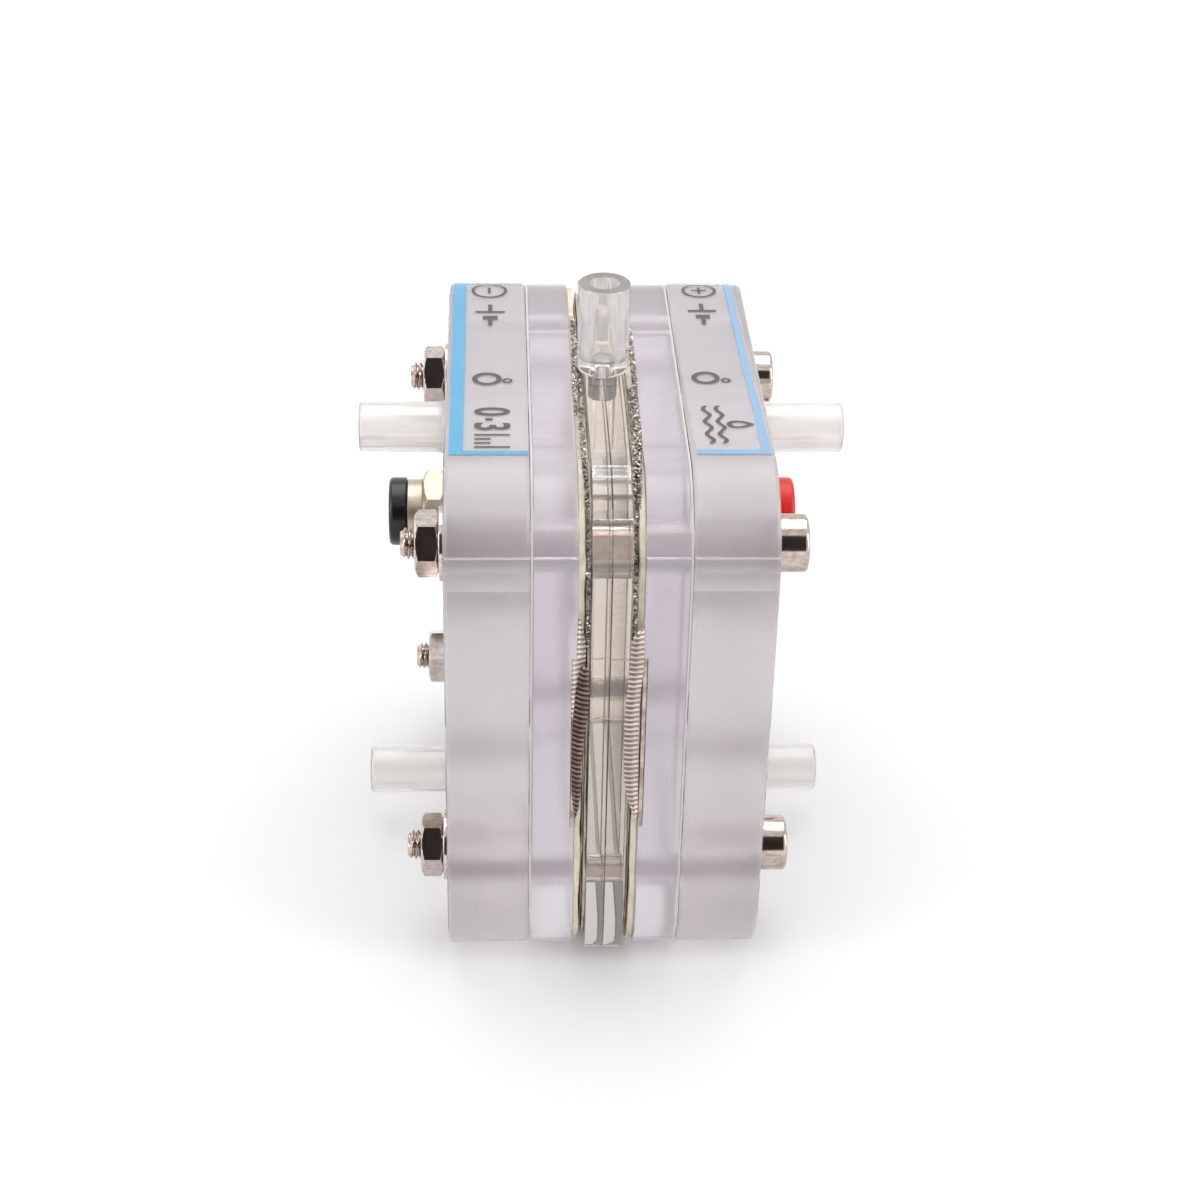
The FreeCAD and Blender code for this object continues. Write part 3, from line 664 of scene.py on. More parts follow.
# the near-black second colour is painted shade among the crumpled strands
crumpledNickel = makeNickel("crumpledNickelEdge", {
    "colours": ("#d3cac0", "#2a2521"), "cloudSize": (0.28, 0.28, 0.28), "roughness": 0.22,
    "scratchSize": (0.2, 0.2, 0.2), "scratchDepth": 0.01,
})
# the groove colour is painted shade between the rolled ribs
ribbedNickel = makeNickel("rolledNickelStrip", {
    "colours": ("#e8ded8", "#d2c5bd"), "groove": "#a39189", "cloudSize": (1.6, 1.6, 1.6), "roughness": 0.42,
    "scratchSize": (0.6, 0.15, 0.15), "scratchDepth": 0.004,
})
# painted shade: a darker copy of the rolled strip's nickel, for the lip that faces away from the light
shadedRibbedNickel = makeNickel("shadedRolledNickelStrip", {
    "colours": ("#a08c82", "#7a665d"), "groove": "#4f3d37", "cloudSize": (1.2, 1.2, 1.2), "roughness": 0.4,
    "scratchSize": (0.6, 0.15, 0.15), "scratchDepth": 0.004,
})
slottedNickel = makeNickel("slottedNickelStrip", {
    "colours": ("#cbbfb4", "#8d7d70"), "cloudSize": (1.6, 1.6, 1.6), "roughness": 0.3,
    "scratchSize": (0.6, 0.15, 0.15), "scratchDepth": 0.008,
})
gasketRubber = makeSheetMaterial("creamSiliconeRubber", {
    "colours": ("#e8e0cd", "#bba88c"), "stainSize": (1.2, 1.6, 1.6), "stainFrom": 0.46, "roughness": 0.6,
})
membraneFilm = makeSheetMaterial("stainedIonomerFilm", {
    "colours": ("#d6c9b4", "#7d6850"), "stainSize": (0.8, 1.2, 1.2), "stainFrom": 0.45, "roughness": 0.4,
})
sealFilm = makeSheetMaterial("ptfeSealFilm", {
    "colours": ("#dedacb", "#8d8270"), "stainSize": (0.8, 1.2, 1.2), "stainFrom": 0.4, "roughness": 0.45,
})
solventCement = makeSheetMaterial("curedSolventCement", {
    "colours": ("#dad5d4", "#cbc6c5"), "stainSize": (2, 4, 4), "stainFrom": 0.4, "roughness": 0.45,
})
scrapedAcrylic = makeSheetMaterial("scrapedAcrylic", {
    "colours": ("#fbfbfa", "#d8d4d0"), "stainSize": (0.3, 0.3, 0.3), "stainFrom": 0.4, "roughness": 0.6,
})
blackAbs = makeMouldedAbs("blackMouldedAbs", {"colours": ("#07070c", "#0c0c12"), "roughness": 0.28})
redAbs = makeMouldedAbs("redMouldedAbs", {"colours": ("#ef1c12", "#de160f"), "roughness": 0.36})
labelFilm = makePrintedFilm("clearPolyesterFilm", {
    "colours": ("#f4f5f8", "#e9eaf0"), "cover": 0.14, "roughness": 0.1,
    "rippleSize": (9, 3, 3), "rippleDepth": 0.05,
})
darkInk = makePrintedFilm("darkBrownInk", {
    "colours": ("#463c33", "#5b5046"), "cover": 1.0, "roughness": 0.35,
    "rippleSize": (1, 1, 1), "rippleDepth": 0.01,
})
blueInk = makePrintedFilm("skyBlueInk", {
    "colours": ("#6fb9e0", "#5ba9d6"), "cover": 0.9, "roughness": 0.25,
    "rippleSize": (3, 5, 5), "rippleDepth": 0.03,
})
paleBlueInk = makePrintedFilm("paleBlueInk", {
    "colours": ("#a2c6e6", "#8bb6e0"), "cover": 0.85, "roughness": 0.25,
    "rippleSize": (3, 5, 5), "rippleDepth": 0.03,
})

nodeMaterials = {
    "outer_plate": outerAcrylic,
    "inner_plate": innerAcrylic,
    "centre_frame": clearAcrylic,
    "gasket": gasketRubber,
    "membrane": membraneFilm,
    "frame_seal": sealFilm,
    "oxygen_electrode": expandedNickel,
    "hydrogen_electrode": rolledNickel,
    "collector": slottedNickel,
    "hose_stub": stubAcrylic,
    "hydrogen_outlet": outletAcrylic,
    "jack_ring_left": blackAbs,
    "jack_ring_right": redAbs,
    "jack": brassNickel,
    "label": labelFilm,
    "bolt": threadNickel,
    "nut": brightNickel,
    "head_washer": brightNickel,
}

for name, node in nodes.items():
    start = max((key for key in nodeMaterials if name.startswith(key)), key=len)
    node.data.materials.clear()
    node.data.materials.append(nodeMaterials[start])
print("materials made")


# plates, with softened edges and a hair's gap at each joint

plateValues = {
    "cornerRadius": 9,
    "arcSteps": 24,
    "holeSteps": 48,
    "boltHole": 3.2,
    "jackPlace": (17.5, 1.2),
    "jackHole": 4.1,
    "portHole": 3.0,
    "seatHole": 4.26,
    "seatDepth": 4.02,
    "jointGap": 0.03,
    "cementHalf": 0.07,
    "outerSoftness": 0.4,
    "innerSoftness": 0.12,
    "facetAngle": 69,  # the front upper corner is round down to here, then flat
    "facetGroove": 0.07,
    "slotHeight": 19.2,
    "slotFront": -28,
    "slotRear": 20.8,
    "slotDepth": 0.5,
    "frameCornerRadius": 7.6,
    "frameWindow": (27, 39),
    "frameGap": 0.02,
    "frameSoftness": 0.07,
    "outletBore": 2.84,
}


def arcPoints(centre, radius, startAngle, endAngle, steps):
    points = []
    for step in range(steps + 1):
        angle = math.radians(startAngle + (endAngle - startAngle) * step / steps)
        points.append((centre[0] + radius * math.cos(angle), centre[1] + radius * math.sin(angle)))
    return points


def roundedOutline(width, height, radius, steps, facetAngle=None, groove=0):
    # a rectangle with round corners; with a facet, a groove of 1.4 degrees parts the front upper corner
    x, y = width / 2 - radius, height / 2 - radius
    points = []
    for centre, start in (((x, y), 0), ((-x, y), 90), ((-x, -y), 180), ((x, -y), 270)):
        if start == 90 and facetAngle:
            turn = 90 + facetAngle
            points += arcPoints(centre, radius, 90, turn, steps)
            points += arcPoints(centre, radius - groove, turn + 0.7, turn + 0.7, 1)[:1]
            points += arcPoints(centre, radius, turn + 1.4, 180, 1)
        else:
            points += arcPoints(centre, radius, start, start + 90, steps)
    return points


def windowOutline(size):
    return roundedOutline(*size, stackValues["windowCorner"], 8)


def circleOutline(centre, diameter, steps):
    return arcPoints(centre, diameter / 2, 0, 360, steps)[:-1]


def standUpright(mesh, x, sign=1):
    # a mesh drawn flat is set across the stack, with its middle at X
    up = stackValues["middle"] * mm
    mesh.transform(Matrix(((0, 0, sign, x * mm), (1, 0, 0, 0), (0, 1, 0, up), (0, 0, 0, 1))))


def cutSheet(name, outlines, span, softening):
    # a flat sheet across X with holes, from closed outlines in Y and Z
    curve = filledCurve(name, outlines)
    curve.extrude = ((span[1] - span[0]) / 2 - softening) * mm
    curve.bevel_depth = softening * mm
    curve.bevel_resolution = 1
    curve.offset = -softening * mm
    mesh = evaluatedMesh(newObject(name, curve))
    standUpright(mesh, (span[0] + span[1]) / 2)
    return tidyMesh(mesh, 8)


def boltOutlines(diameter):
    places = [(y, z) for y in (-1, 1) for z in (-1, 1)]
    reach = stackValues["boltPlace"]
    return [circleOutline((y * reach, z * reach), diameter, plateValues["holeSteps"]) for y, z in places]


def makePlates(v, side, sign):
    whole, middle, rise = stackValues["side"], stackValues["middle"], stackValues["portUp"]
    inward, cement, outward = (stackValues[key] for key in ("innerFace", "cementPlane", "outerFace"))
    square = roundedOutline(whole, whole, v["cornerRadius"], v["arcSteps"], v["facetAngle"], v["facetGroove"])
    holes = boltOutlines(v["boltHole"]) + [circleOutline(v["jackPlace"], v["jackHole"], v["holeSteps"])]
    ports = [circleOutline((0, way * rise), v["portHole"], v["holeSteps"]) for way in (-1, 1)]
    reach = span(sign, cement + v["cementHalf"], outward)
    outer = cutSheet("outerPlate", [square, *holes, *ports], reach, v["outerSoftness"])
    rings = facing(sign, [(outward - v["seatDepth"], v["seatHole"] / 2), (outward + 0.8, v["seatHole"] / 2)])
    outer = cutAway(outer, *[turnedMesh("seat", rings, 48, (0, middle + way * rise)) for way in (-1, 1)])
    addOnSide(side, "outerPlate", outer, outerAcrylic, "outer_acrylic", "outer_plate")

    reach = span(sign, inward + v["jointGap"], cement - v["cementHalf"])
    window = windowOutline(stackValues["window"])
    inner = cutSheet("innerPlate", [square, *holes, window], reach, v["innerSoftness"])
    foot = middle + v["jackPlace"][1] - v["slotHeight"] / 2
    low, high = span(sign, inward - 1, inward + v["slotDepth"])
    slot = boxMesh((low, v["slotFront"], foot), (high, v["slotRear"], foot + v["slotHeight"]))
    inner = cutAway(inner, slot)
    addOnSide(side, "innerPlate", inner, innerAcrylic, "inner_acrylic", "inner_plate")

    square = roundedOutline(whole, whole, v["frameCornerRadius"], v["arcSteps"])
    reach = span(sign, v["frameGap"] / 2, stackValues["frameFace"] - v["jointGap"])
    window = windowOutline(v["frameWindow"])
    centre = cutSheet("centreFrame", [square, *holes[:4], window], reach, v["frameSoftness"])
    bore = v["outletBore"] / 2
    centre = cutAway(centre, turnedMesh("bore", [(whole - 10, bore), (whole + 1, bore)], upright=True))
    addOnSide(side, "centreFrame", centre, clearAcrylic, "frame_acrylic", "centre_frame")


for side, sign in sides:
    makePlates(plateValues, side, sign)
print("plates made")


# Geometry Nodes

def startTree(name, **inputs):
    tree = bpy.data.node_groups.new(name, "GeometryNodeTree")
    tree.interface.new_socket("Geometry", in_out="INPUT", socket_type="NodeSocketGeometry")
    for label, kind in inputs.items():
        tree.interface.new_socket(label, in_out="INPUT", socket_type="NodeSocket" + kind)
    tree.interface.new_socket("finish", in_out="INPUT", socket_type="NodeSocketMaterial")
    tree.interface.new_socket("Geometry", in_out="OUTPUT", socket_type="NodeSocketGeometry")
    return tree, addNode(tree, "NodeGroupInput").outputs


def endTree(tree, given, geometry):
    real = addNode(tree, "GeometryNodeRealizeInstances", {"Geometry": geometry})
    finished = addNode(tree, "GeometryNodeSetMaterial", {"Geometry": real, "Material": given["finish"]})
    addNode(tree, "NodeGroupOutput", {0: finished})
    return tree


def grownMesh(tree, base=None, thickness=0, **values):
    helper = newObject("grown", base or bpy.data.meshes.new("seed"))
    modifier = helper.modifiers.new("grow", "NODES")
    modifier.node_group = tree
    for item in tree.interface.items_tree:
        if item.in_out == "INPUT" and item.name in values:
            modifier[item.identifier] = values[item.name]
    if thickness:
        wall = helper.modifiers.new("wall", "SOLIDIFY")
        wall.thickness = thickness * mm
        wall.offset = 0
    return evaluatedMesh(helper)


def screwPlacesTree():
    # copies of one turned part at the four screw places, each turned as its own vertex says
    tree, given = startTree("screwPlaces", part="Object", spacing="Float", middle="Float")
    turn = addNode(tree, "GeometryNodeInputNamedAttribute", {"Name": "turn"}, data_type="FLOAT")
    rotation = addNode(tree, "ShaderNodeCombineXYZ", {"X": turn})
    place = addNode(tree, "GeometryNodeInputPosition")
    spread = addNode(tree, "ShaderNodeVectorMath", {0: place, "Scale": given["spacing"]}, operation="SCALE")
    lift = addNode(tree, "ShaderNodeCombineXYZ", {"Z": given["middle"]})
    raised = addNode(tree, "ShaderNodeVectorMath", {0: spread, 1: lift}, operation="ADD")
    moved = addNode(tree, "GeometryNodeSetPosition", {"Geometry": given["Geometry"], "Position": raised})
    part = addNode(tree, "GeometryNodeObjectInfo", {"Object": given["part"]}).outputs["Geometry"]
    return endTree(tree, given, addNode(tree, "GeometryNodeInstanceOnPoints", {
        "Points": moved, "Instance": part, "Rotation": rotation}))


# screws, nuts and washers

fastenerValues = {
    "washer": {"thickness": 0.5, "diameter": 7, "hole": 3.2},
    "head": {"diameter": 5.5, "height": 3, "keyWidth": 2.5, "keyDepth": 1.6, "softness": 0.5},
    "shank": {
        "thread": 3, "threadPitch": 0.5, "threadDepth": 0.32, "tipRadius": 1.08, "tip": -19.3, "end": -1.3},
    "nut": {"width": 5.5, "height": 2.25, "mouth": 1.72, "bore": 1.5, "chamferFrom": 2.62},
    # how far each was turned when it was tightened: front upper, front lower, rear upper, rear lower
    "nutTurns": (1, -8, -3, 35),
    "headTurns": (10, 33, 51, 20),
}


def placesMesh(turns):
    mesh = bpy.data.meshes.new("places")
    mesh.from_pydata([(0, -1, 1), (0, -1, -1), (0, 1, 1), (0, 1, -1)], [], [])
    turn = mesh.attributes.new("turn", "FLOAT", "POINT")
    turn.data.foreach_set("value", [math.radians(angle) for angle in turns])
    return mesh


def screwMesh(head, shank, foot):
    top = foot + head["height"]
    floor = top - head["keyDepth"]
    key = hexagonRadius(head["keyWidth"], 0)
    rings = threadRings(shank, shank["tip"], shank["end"], True)
    rings += softProfile([
        (shank["end"] + 0.05, shank["thread"] / 2, 0),
        (foot, shank["thread"] / 2, 0.1),
        (foot, head["diameter"] / 2, 0.12),
        (top, head["diameter"] / 2, head["softness"]),
        (top, head["keyWidth"] / 2 + 0.3, 0),
    ], steps=6)
    rings += [(top, 1.5), (top - 0.12, key), (floor, key), (floor - 0.01, 1.0), (floor - 0.5, 0.02)]
    return turnedMesh("screw", rings, 36)


def nutMesh(nut, near):
    far = near - nut["height"]
    shape = hexagonRadius(nut["width"], 0)
    rings = [(near - 0.22, nut["bore"]), (near, nut["mouth"])]
    rings += chamferedEnd(shape, near, -1, nut["chamferFrom"], nut["width"])
    rings += reversed(chamferedEnd(shape, far, 1, nut["chamferFrom"], nut["width"]))
    rings += [(far, nut["mouth"]), (far + 0.22, nut["bore"])]
    return turnedMesh("nut", rings, 96, closed=True)


def washerMesh(washer, foot, sign, centre=(0, 0), steps=64, soft=(0.04, 0.1, 0.1, 0.04)):
    hole, rim, top = washer["hole"] / 2, washer["diameter"] / 2, foot + washer["thickness"]
    points = [(foot, hole, soft[0]), (foot, rim, soft[1]), (top, rim, soft[2]), (top, hole, soft[3])]
    return turnedMesh("washer", facing(sign, softProfile(points, True)), steps, centre, closed=True)


def makeFasteners(v):
    tree = screwPlacesTree()
    face = stackValues["outerFace"]
    foot = face + v["washer"]["thickness"]
    kinds = (
        ("clampScrews", screwMesh(v["head"], v["shank"], foot), v["headTurns"], threadNickel, "bolt_"),
        ("clampNuts", nutMesh(v["nut"], -foot), v["nutTurns"], brightNickel, "nut_"),
        ("nutWashers", washerMesh(v["washer"], face, -1), v["headTurns"], brightNickel, "nut_washer_"),
        ("headWashers", washerMesh(v["washer"], face, 1), v["headTurns"], brightNickel, "head_washer_"),
    )
    for name, mesh, turns, material, nodeStart in kinds:
        part = newObject("part", mesh)
        grown = grownMesh(
            tree, placesMesh(turns), part=part, spacing=stackValues["boltPlace"] * mm,
            middle=stackValues["middle"] * mm, finish=material)
        bpy.data.objects.remove(part)
        replaced = [nodeStart + y + z for y in ("front", "rear") for z in ("_upper", "_lower")]
        addObject(name, tidyMesh(grown), material, "nickel_steel", *replaced)


makeFasteners(fastenerValues)
print("fasteners made")


# hose stubs and the hydrogen outlet

tubeValues = {
    "diameter": 5,
    "bore": 3,
    "reach": 8.6,
    "seat": 4,
    "seatDiameter": 4.2,
    "jointGap": 0.03,
    "rimSoftness": 0.45,
    "glueFlare": 0.45,
    "outletReach": 9.1,
    "outletBore": 2.8,
    "outletFloor": 1.2,
    "spigotDiameter": 2.8,
    "spigotLength": 3.5,
    "spigotBore": 1.5,
}


def makeStub(v, side, sign, level, way):
    foot = stackValues["outerFace"] + v["jointGap"]
    top = foot + v["reach"] - v["jointGap"]
    outside = v["diameter"] / 2
    rings = facing(sign, softProfile([
        (foot - v["seat"], v["bore"] / 2, 0),
        (foot - v["seat"], v["seatDiameter"] / 2, 0.15),
        (foot, v["seatDiameter"] / 2, 0),
        (foot, outside + v["glueFlare"], 0),
        (foot + 0.12, outside + v["glueFlare"] * 0.4, 0.1),
        (foot + 0.6, outside, 0.3),
        (top, outside, v["rimSoftness"]),
        (top, v["bore"] / 2, 0.2),
    ], True, 5))
    centre = (0, stackValues["middle"] + way * stackValues["portUp"])
    mesh = turnedMesh("hoseStub", rings, 64, centre, closed=True)
    node = f"hose_stub_{side}_{level}".lower()
    addObject("hoseStub" + side + level, mesh, stubAcrylic, "stub_acrylic", node)


def makeOutlet(v):
    foot = stackValues["side"] + v["jointGap"]
    top = stackValues["side"] + v["outletReach"]
    floor = foot + v["outletFloor"]
    rings = softProfile([
        (foot - v["spigotLength"], v["spigotBore"] / 2, 0),
        (foot - v["spigotLength"], v["spigotDiameter"] / 2, 0.1),
        (foot, v["spigotDiameter"] / 2, 0),
        (foot, v["diameter"] / 2, 0.35),
        (top, v["diameter"] / 2, 0.2),
        (top, v["outletBore"] / 2, 0.2),
        (floor, v["outletBore"] / 2, 0.4),
        (floor, v["spigotBore"] / 2, 0.1),
    ], True, 6)
    mesh = turnedMesh("hydrogenOutlet", rings, 72, closed=True, upright=True)
    addObject("hydrogenOutlet", mesh, outletAcrylic, "outlet_acrylic", "hydrogen_outlet")


for side, sign in sides:
    makeStub(tubeValues, side, sign, "Upper", 1)
    makeStub(tubeValues, side, sign, "Lower", -1)
makeOutlet(tubeValues)
print("tubes made")


# banana jacks

jackValues = {
    "place": (17.5, 28.2),
    "thread": 4,
    "threadPitch": 0.7,
    "threadDepth": 0.4,
    "tipRadius": 1.5,
    "inside": 11.75,
    "washer": {"thickness": 0.6, "diameter": 10, "hole": 4.1},
    "hexWidth": 8,
    "hexHeight": 2.5,
    "hexTurn": 15,
    "chamfersFrom": (3.8, 3.7),  # radius of the hexagon's foot and of its top
    "collarDiameter": 7,
    "collarHeight": 1.7,
    "ringDiameter": 7.4,
    "ringHeight": 1.95,
    "ringGap": 0.03,
    "bore": 2,
    "boreDepth": 12,
}


def makeJack(v, side, sign):
    base = stackValues["outerFace"]
    hexStart = base + v["washer"]["thickness"]
    hexEnd = hexStart + v["hexHeight"]
    collarEnd = hexEnd + v["collarHeight"]
    ringEnd = collarEnd + v["ringHeight"]
    shank, collar, bore = v["thread"] / 2, v["collarDiameter"] / 2, v["bore"] / 2
    shape = hexagonRadius(v["hexWidth"], v["hexTurn"])
    footRadius, topRadius = v["chamfersFrom"]
    rings = threadRings(v, base - v["inside"], base - 0.3)
    rings += [(base - 0.2, shank), (hexStart + 0.01, shank)]
    rings += chamferedEnd(shape, hexStart + 0.01, 1, footRadius, v["hexWidth"])
    rings += reversed(chamferedEnd(shape, hexEnd, -1, topRadius, v["hexWidth"]))
    rings += softProfile([
        (hexEnd, collar - 0.1, 0),
        (hexEnd + 0.1, collar, 0),
        (collarEnd, collar, 0.2),
        (collarEnd, shank, 0),
        (ringEnd, shank, 0.12),
        (ringEnd, bore, 0.25),
        (ringEnd - v["boreDepth"], bore, 0),
        (ringEnd - v["boreDepth"] - 0.5, 0.02, 0),
    ], steps=5)
    jack = turnedMesh("jack", facing(sign, rings), 96, v["place"])
    rings = softProfile([
        (collarEnd + v["ringGap"], shank + v["ringGap"], 0),
        (collarEnd + v["ringGap"], v["ringDiameter"] / 2, 0.15),
        (ringEnd, v["ringDiameter"] / 2, 0.55),
        (ringEnd, shank + v["ringGap"], 0.1),
    ], True, 6)
    ring = turnedMesh("jackRing", facing(sign, rings), 96, v["place"], closed=True)
    washer = washerMesh(v["washer"], base, sign, v["place"], 96, (0, 0.1, 0.15, 0))
    plastic, slotName = {"Left": (blackAbs, "black_ring"), "Right": (redAbs, "red_ring")}[side]
    addOnSide(side, "jack", jack, brassNickel, "nickel_brass", "jack")
    addOnSide(side, "jackRing", ring, plastic, slotName, "jack_ring")
    addOnSide(side, "jackWasher", washer, brassNickel, "nickel_brass", "jack_washer")


for side, sign in sides:
    makeJack(jackValues, side, sign)
print("jacks made")


# sheets clamped between the plates, cut by hand, so that their edges wander

sheetValues = {
    "boltHole": 3.8,
    "corner": 8.7,
    "buckle": 0.13,  # how far each sheet's free side bulges
    "wanderScale": 0.35,  # bends of the cut edge in each millimetre
    "buckleScale": 0.4,
    "cement": {"half": 0.09, "inset": 0.06, "width": 0.9, "corner": 9, "innerCorner": 8.1, "groove": 0.05},
    "gasket": {"low": 2.42, "high": 2.97, "side": 53.5, "wander": 0.3, "soft": 0.08},
    "membrane": {"low": 2.16, "high": 2.3, "side": 51.9, "wander": 0.5, "soft": 0.03},
    "frame_seal": {"low": 1.88, "high": 2.08, "side": 52.7, "wander": 0.45, "soft": 0.03},
    "hemFront": -17.5,
    "hemRear": 12.5,
    "hemFloor": 25.1,
    "pointSpacing": 0.7,
}


def evenPoints(outline, spacing):
    # a closed outline walked round in steps of one length
    points = []
    for (a, b), (c, d) in zip(outline, outline[1:] + outline[:1]):
        steps = max(1, round(math.dist((a, b), (c, d)) / spacing))
        points += [(a + (c - a) * k / steps, b + (d - b) * k / steps) for k in range(steps)]
    return points


def handCutOutline(v, part, seed):
    outline = []
    half = part["side"] / 2
    square = roundedOutline(part["side"], part["side"], v["corner"], 8)
    for y, z in evenPoints(square, v["pointSpacing"]):
        place = Vector((y * v["wanderScale"], z * v["wanderScale"], seed))
        inwards = 1 - part["wander"] / half * (0.5 + noise.noise(place))
        y, z = y * inwards, z * inwards
        if z > v["hemFloor"] and v["hemFront"] < y < v["hemRear"]:
            z = v["hemFloor"]
        outline.append((y, z))
    return outline


def makeSheets(v, side, sign):
    holes = boltOutlines(v["boltHole"])
    window = windowOutline(stackValues["window"])
    kinds = (
        ("gasket", "siliconeGasket", gasketRubber, "gasket_rubber", [window], 1),
        ("membrane", "ionomerMembrane", membraneFilm, "membrane_film", [], 2),
        ("frame_seal", "frameSeal", sealFilm, "seal_film", [window], 3),
    )
    for node, name, material, slotName, openings, seed in kinds:
        part = v[node]
        outline = handCutOutline(v, part, seed + sign * 0.4)
        reach = span(sign, part["low"], part["high"])
        mesh = cutSheet(name, [outline, *holes, *openings], reach, part["soft"])
        for vertex in mesh.vertices:
            x, y, z = vertex.co / mm
            if sign * x < (part["low"] + part["high"]) / 2:
                place = Vector((y * v["buckleScale"], z * v["buckleScale"], seed * 3 + sign))
                vertex.co.x += sign * v["buckle"] * mm * noise.noise(place)
        addOnSide(side, name, mesh, material, slotName, node)
    cement = v["cement"]
    outer = stackValues["side"] - 2 * cement["inset"]
    inner = outer - 2 * cement["width"]
    arc, facet = plateValues["arcSteps"], plateValues["facetAngle"]
    rim = [roundedOutline(outer, outer, cement["corner"], arc, facet, cement["groove"]),
           roundedOutline(inner, inner, cement["innerCorner"], arc)]
    plane = stackValues["cementPlane"]
    line = cutSheet("cementLine", rim, span(sign, plane - cement["half"], plane + cement["half"]), 0.01)
    addObject("cementLine" + side, line, solventCement, "outer_acrylic")


for side, sign in sides:
    makeSheets(sheetValues, side, sign)
print("sheets made")


# expanded metal electrodes and their crumpled edges

electrodeValues = {
    "width": 26.8,
    "height": 44.8,
    "pitchAcross": 1.3,
    "pitchUp": 0.8,
    "strandThickness": 0.12,
    "oxygen": {"at": 2.68, "strandWidth": 0.24, "twist": 38, "crumple": 0.25},
    "hydrogen": {"at": 1.99, "strandWidth": 0.46, "twist": 3, "crumple": 0.03},
    "scrapLength": 0.32,
    "scrapWidth": 0.085,
    "scrapThickness": 0.045,
    "scrapTwist": 20,
    "scrapPitch": 0.03,
    "scrapScatter": 0.1,
    "scrapTilt": (0.9, 0.7, 0.9),
    "reach": 0.46,  # part of an edge's half width over which the scraps are strewn
}

# crumpled edges of the sheets, as points of (Y, Z, X, half width), along the top and down the front corner
edgePaths = {
    "Left": (
        ((12.3, 53.5, 2.55, 0.42), (5, 53.8, 2.6, 0.5), (0, 53.9, 2.72, 0.42), (-5, 53.95, 2.85, 0.32),
         (-9.5, 53.7, 2.95, 0.2)),
        ((3, 53.6, 2.15, 0.25), (-5, 53.8, 2.3, 0.35), (-12, 53.9, 2.42, 0.4), (-18, 53.8, 2.4, 0.36),
         (-22.2, 52.6, 2.25, 0.26), (-25.1, 49.8, 2.15, 0.22), (-26.6, 46, 2.12, 0.24),
         (-26.75, 42, 2.1, 0.26), (-26.75, 38.6, 2.05, 0.15)),
    ),
    "Right": (
        ((11.5, 53.8, 2.95, 0.25), (7, 54.0, 3.0, 0.33), (0, 54.05, 2.95, 0.4), (-9, 54.0, 2.85, 0.42),
         (-14, 53.95, 2.78, 0.36), (-18, 53.8, 2.68, 0.3), (-22, 52.8, 2.5, 0.22), (-24.5, 50.6, 2.35, 0.15)),
        ((-4, 53.8, 2.4, 0.25), (-12, 53.9, 2.35, 0.3), (-18, 53.8, 2.25, 0.28), (-22.2, 52.6, 2.15, 0.22),
         (-25.1, 49.8, 2.12, 0.2), (-26.6, 46.5, 2.1, 0.18), (-26.75, 43, 2.2, 0.28),
         (-26.75, 39.5, 2.05, 0.12)),
    ),
}


def barMesh(start, end, width, thickness, twist):
    # a flat strand between two points of the XY plane, turned about its own length
    along = Vector((*end, 0)) - Vector((*start, 0))
    turn = Matrix.Rotation(math.radians(twist), 3, along)
    across = turn @ (Vector((-along.y, along.x, 0)).normalized() * width / 2)
    up = turn @ Vector((0, 0, thickness / 2))
    turns = ((-1, -1), (1, -1), (1, 1), (-1, 1))
    corners = [Vector((*place, 0)) + across * a + up * b for place in (start, end) for a, b in turns]
    return plainMesh("strand", corners, [*gridFaces(2, 4, ringed=True), (3, 2, 1, 0), (4, 5, 6, 7)])


def expandedSheetTree():
    # a grid of crossing strands, which join into a net of diamonds
    tree, given = startTree(
        "expandedSheet", part="Object", width="Float", height="Float", columns="Int", rows="Int",
        crumple="Float")
    grid = addNode(tree, "GeometryNodeMeshGrid", {
        "Size X": given["width"], "Size Y": given["height"], "Vertices X": given["columns"],
        "Vertices Y": given["rows"]})
    part = addNode(tree, "GeometryNodeObjectInfo", {"Object": given["part"]}).outputs["Geometry"]
    copies = addNode(tree, "GeometryNodeInstanceOnPoints", {"Points": grid, "Instance": part})
    real = addNode(tree, "GeometryNodeRealizeInstances", {"Geometry": copies})
    wave = addNode(tree, "ShaderNodeTexNoise", {"Scale": 350.0, "Detail": 1.0})  # bends in each metre
    middle = addNode(tree, "ShaderNodeMath", {0: wave, 1: 0.5}, operation="SUBTRACT")
    depth = addNode(tree, "ShaderNodeMath", {0: middle, 1: given["crumple"]}, operation="MULTIPLY")
    offset = addNode(tree, "ShaderNodeCombineXYZ", {"Z": depth})
    moved = addNode(tree, "GeometryNodeSetPosition", {"Geometry": real, "Offset": offset})
    return endTree(tree, given, moved)


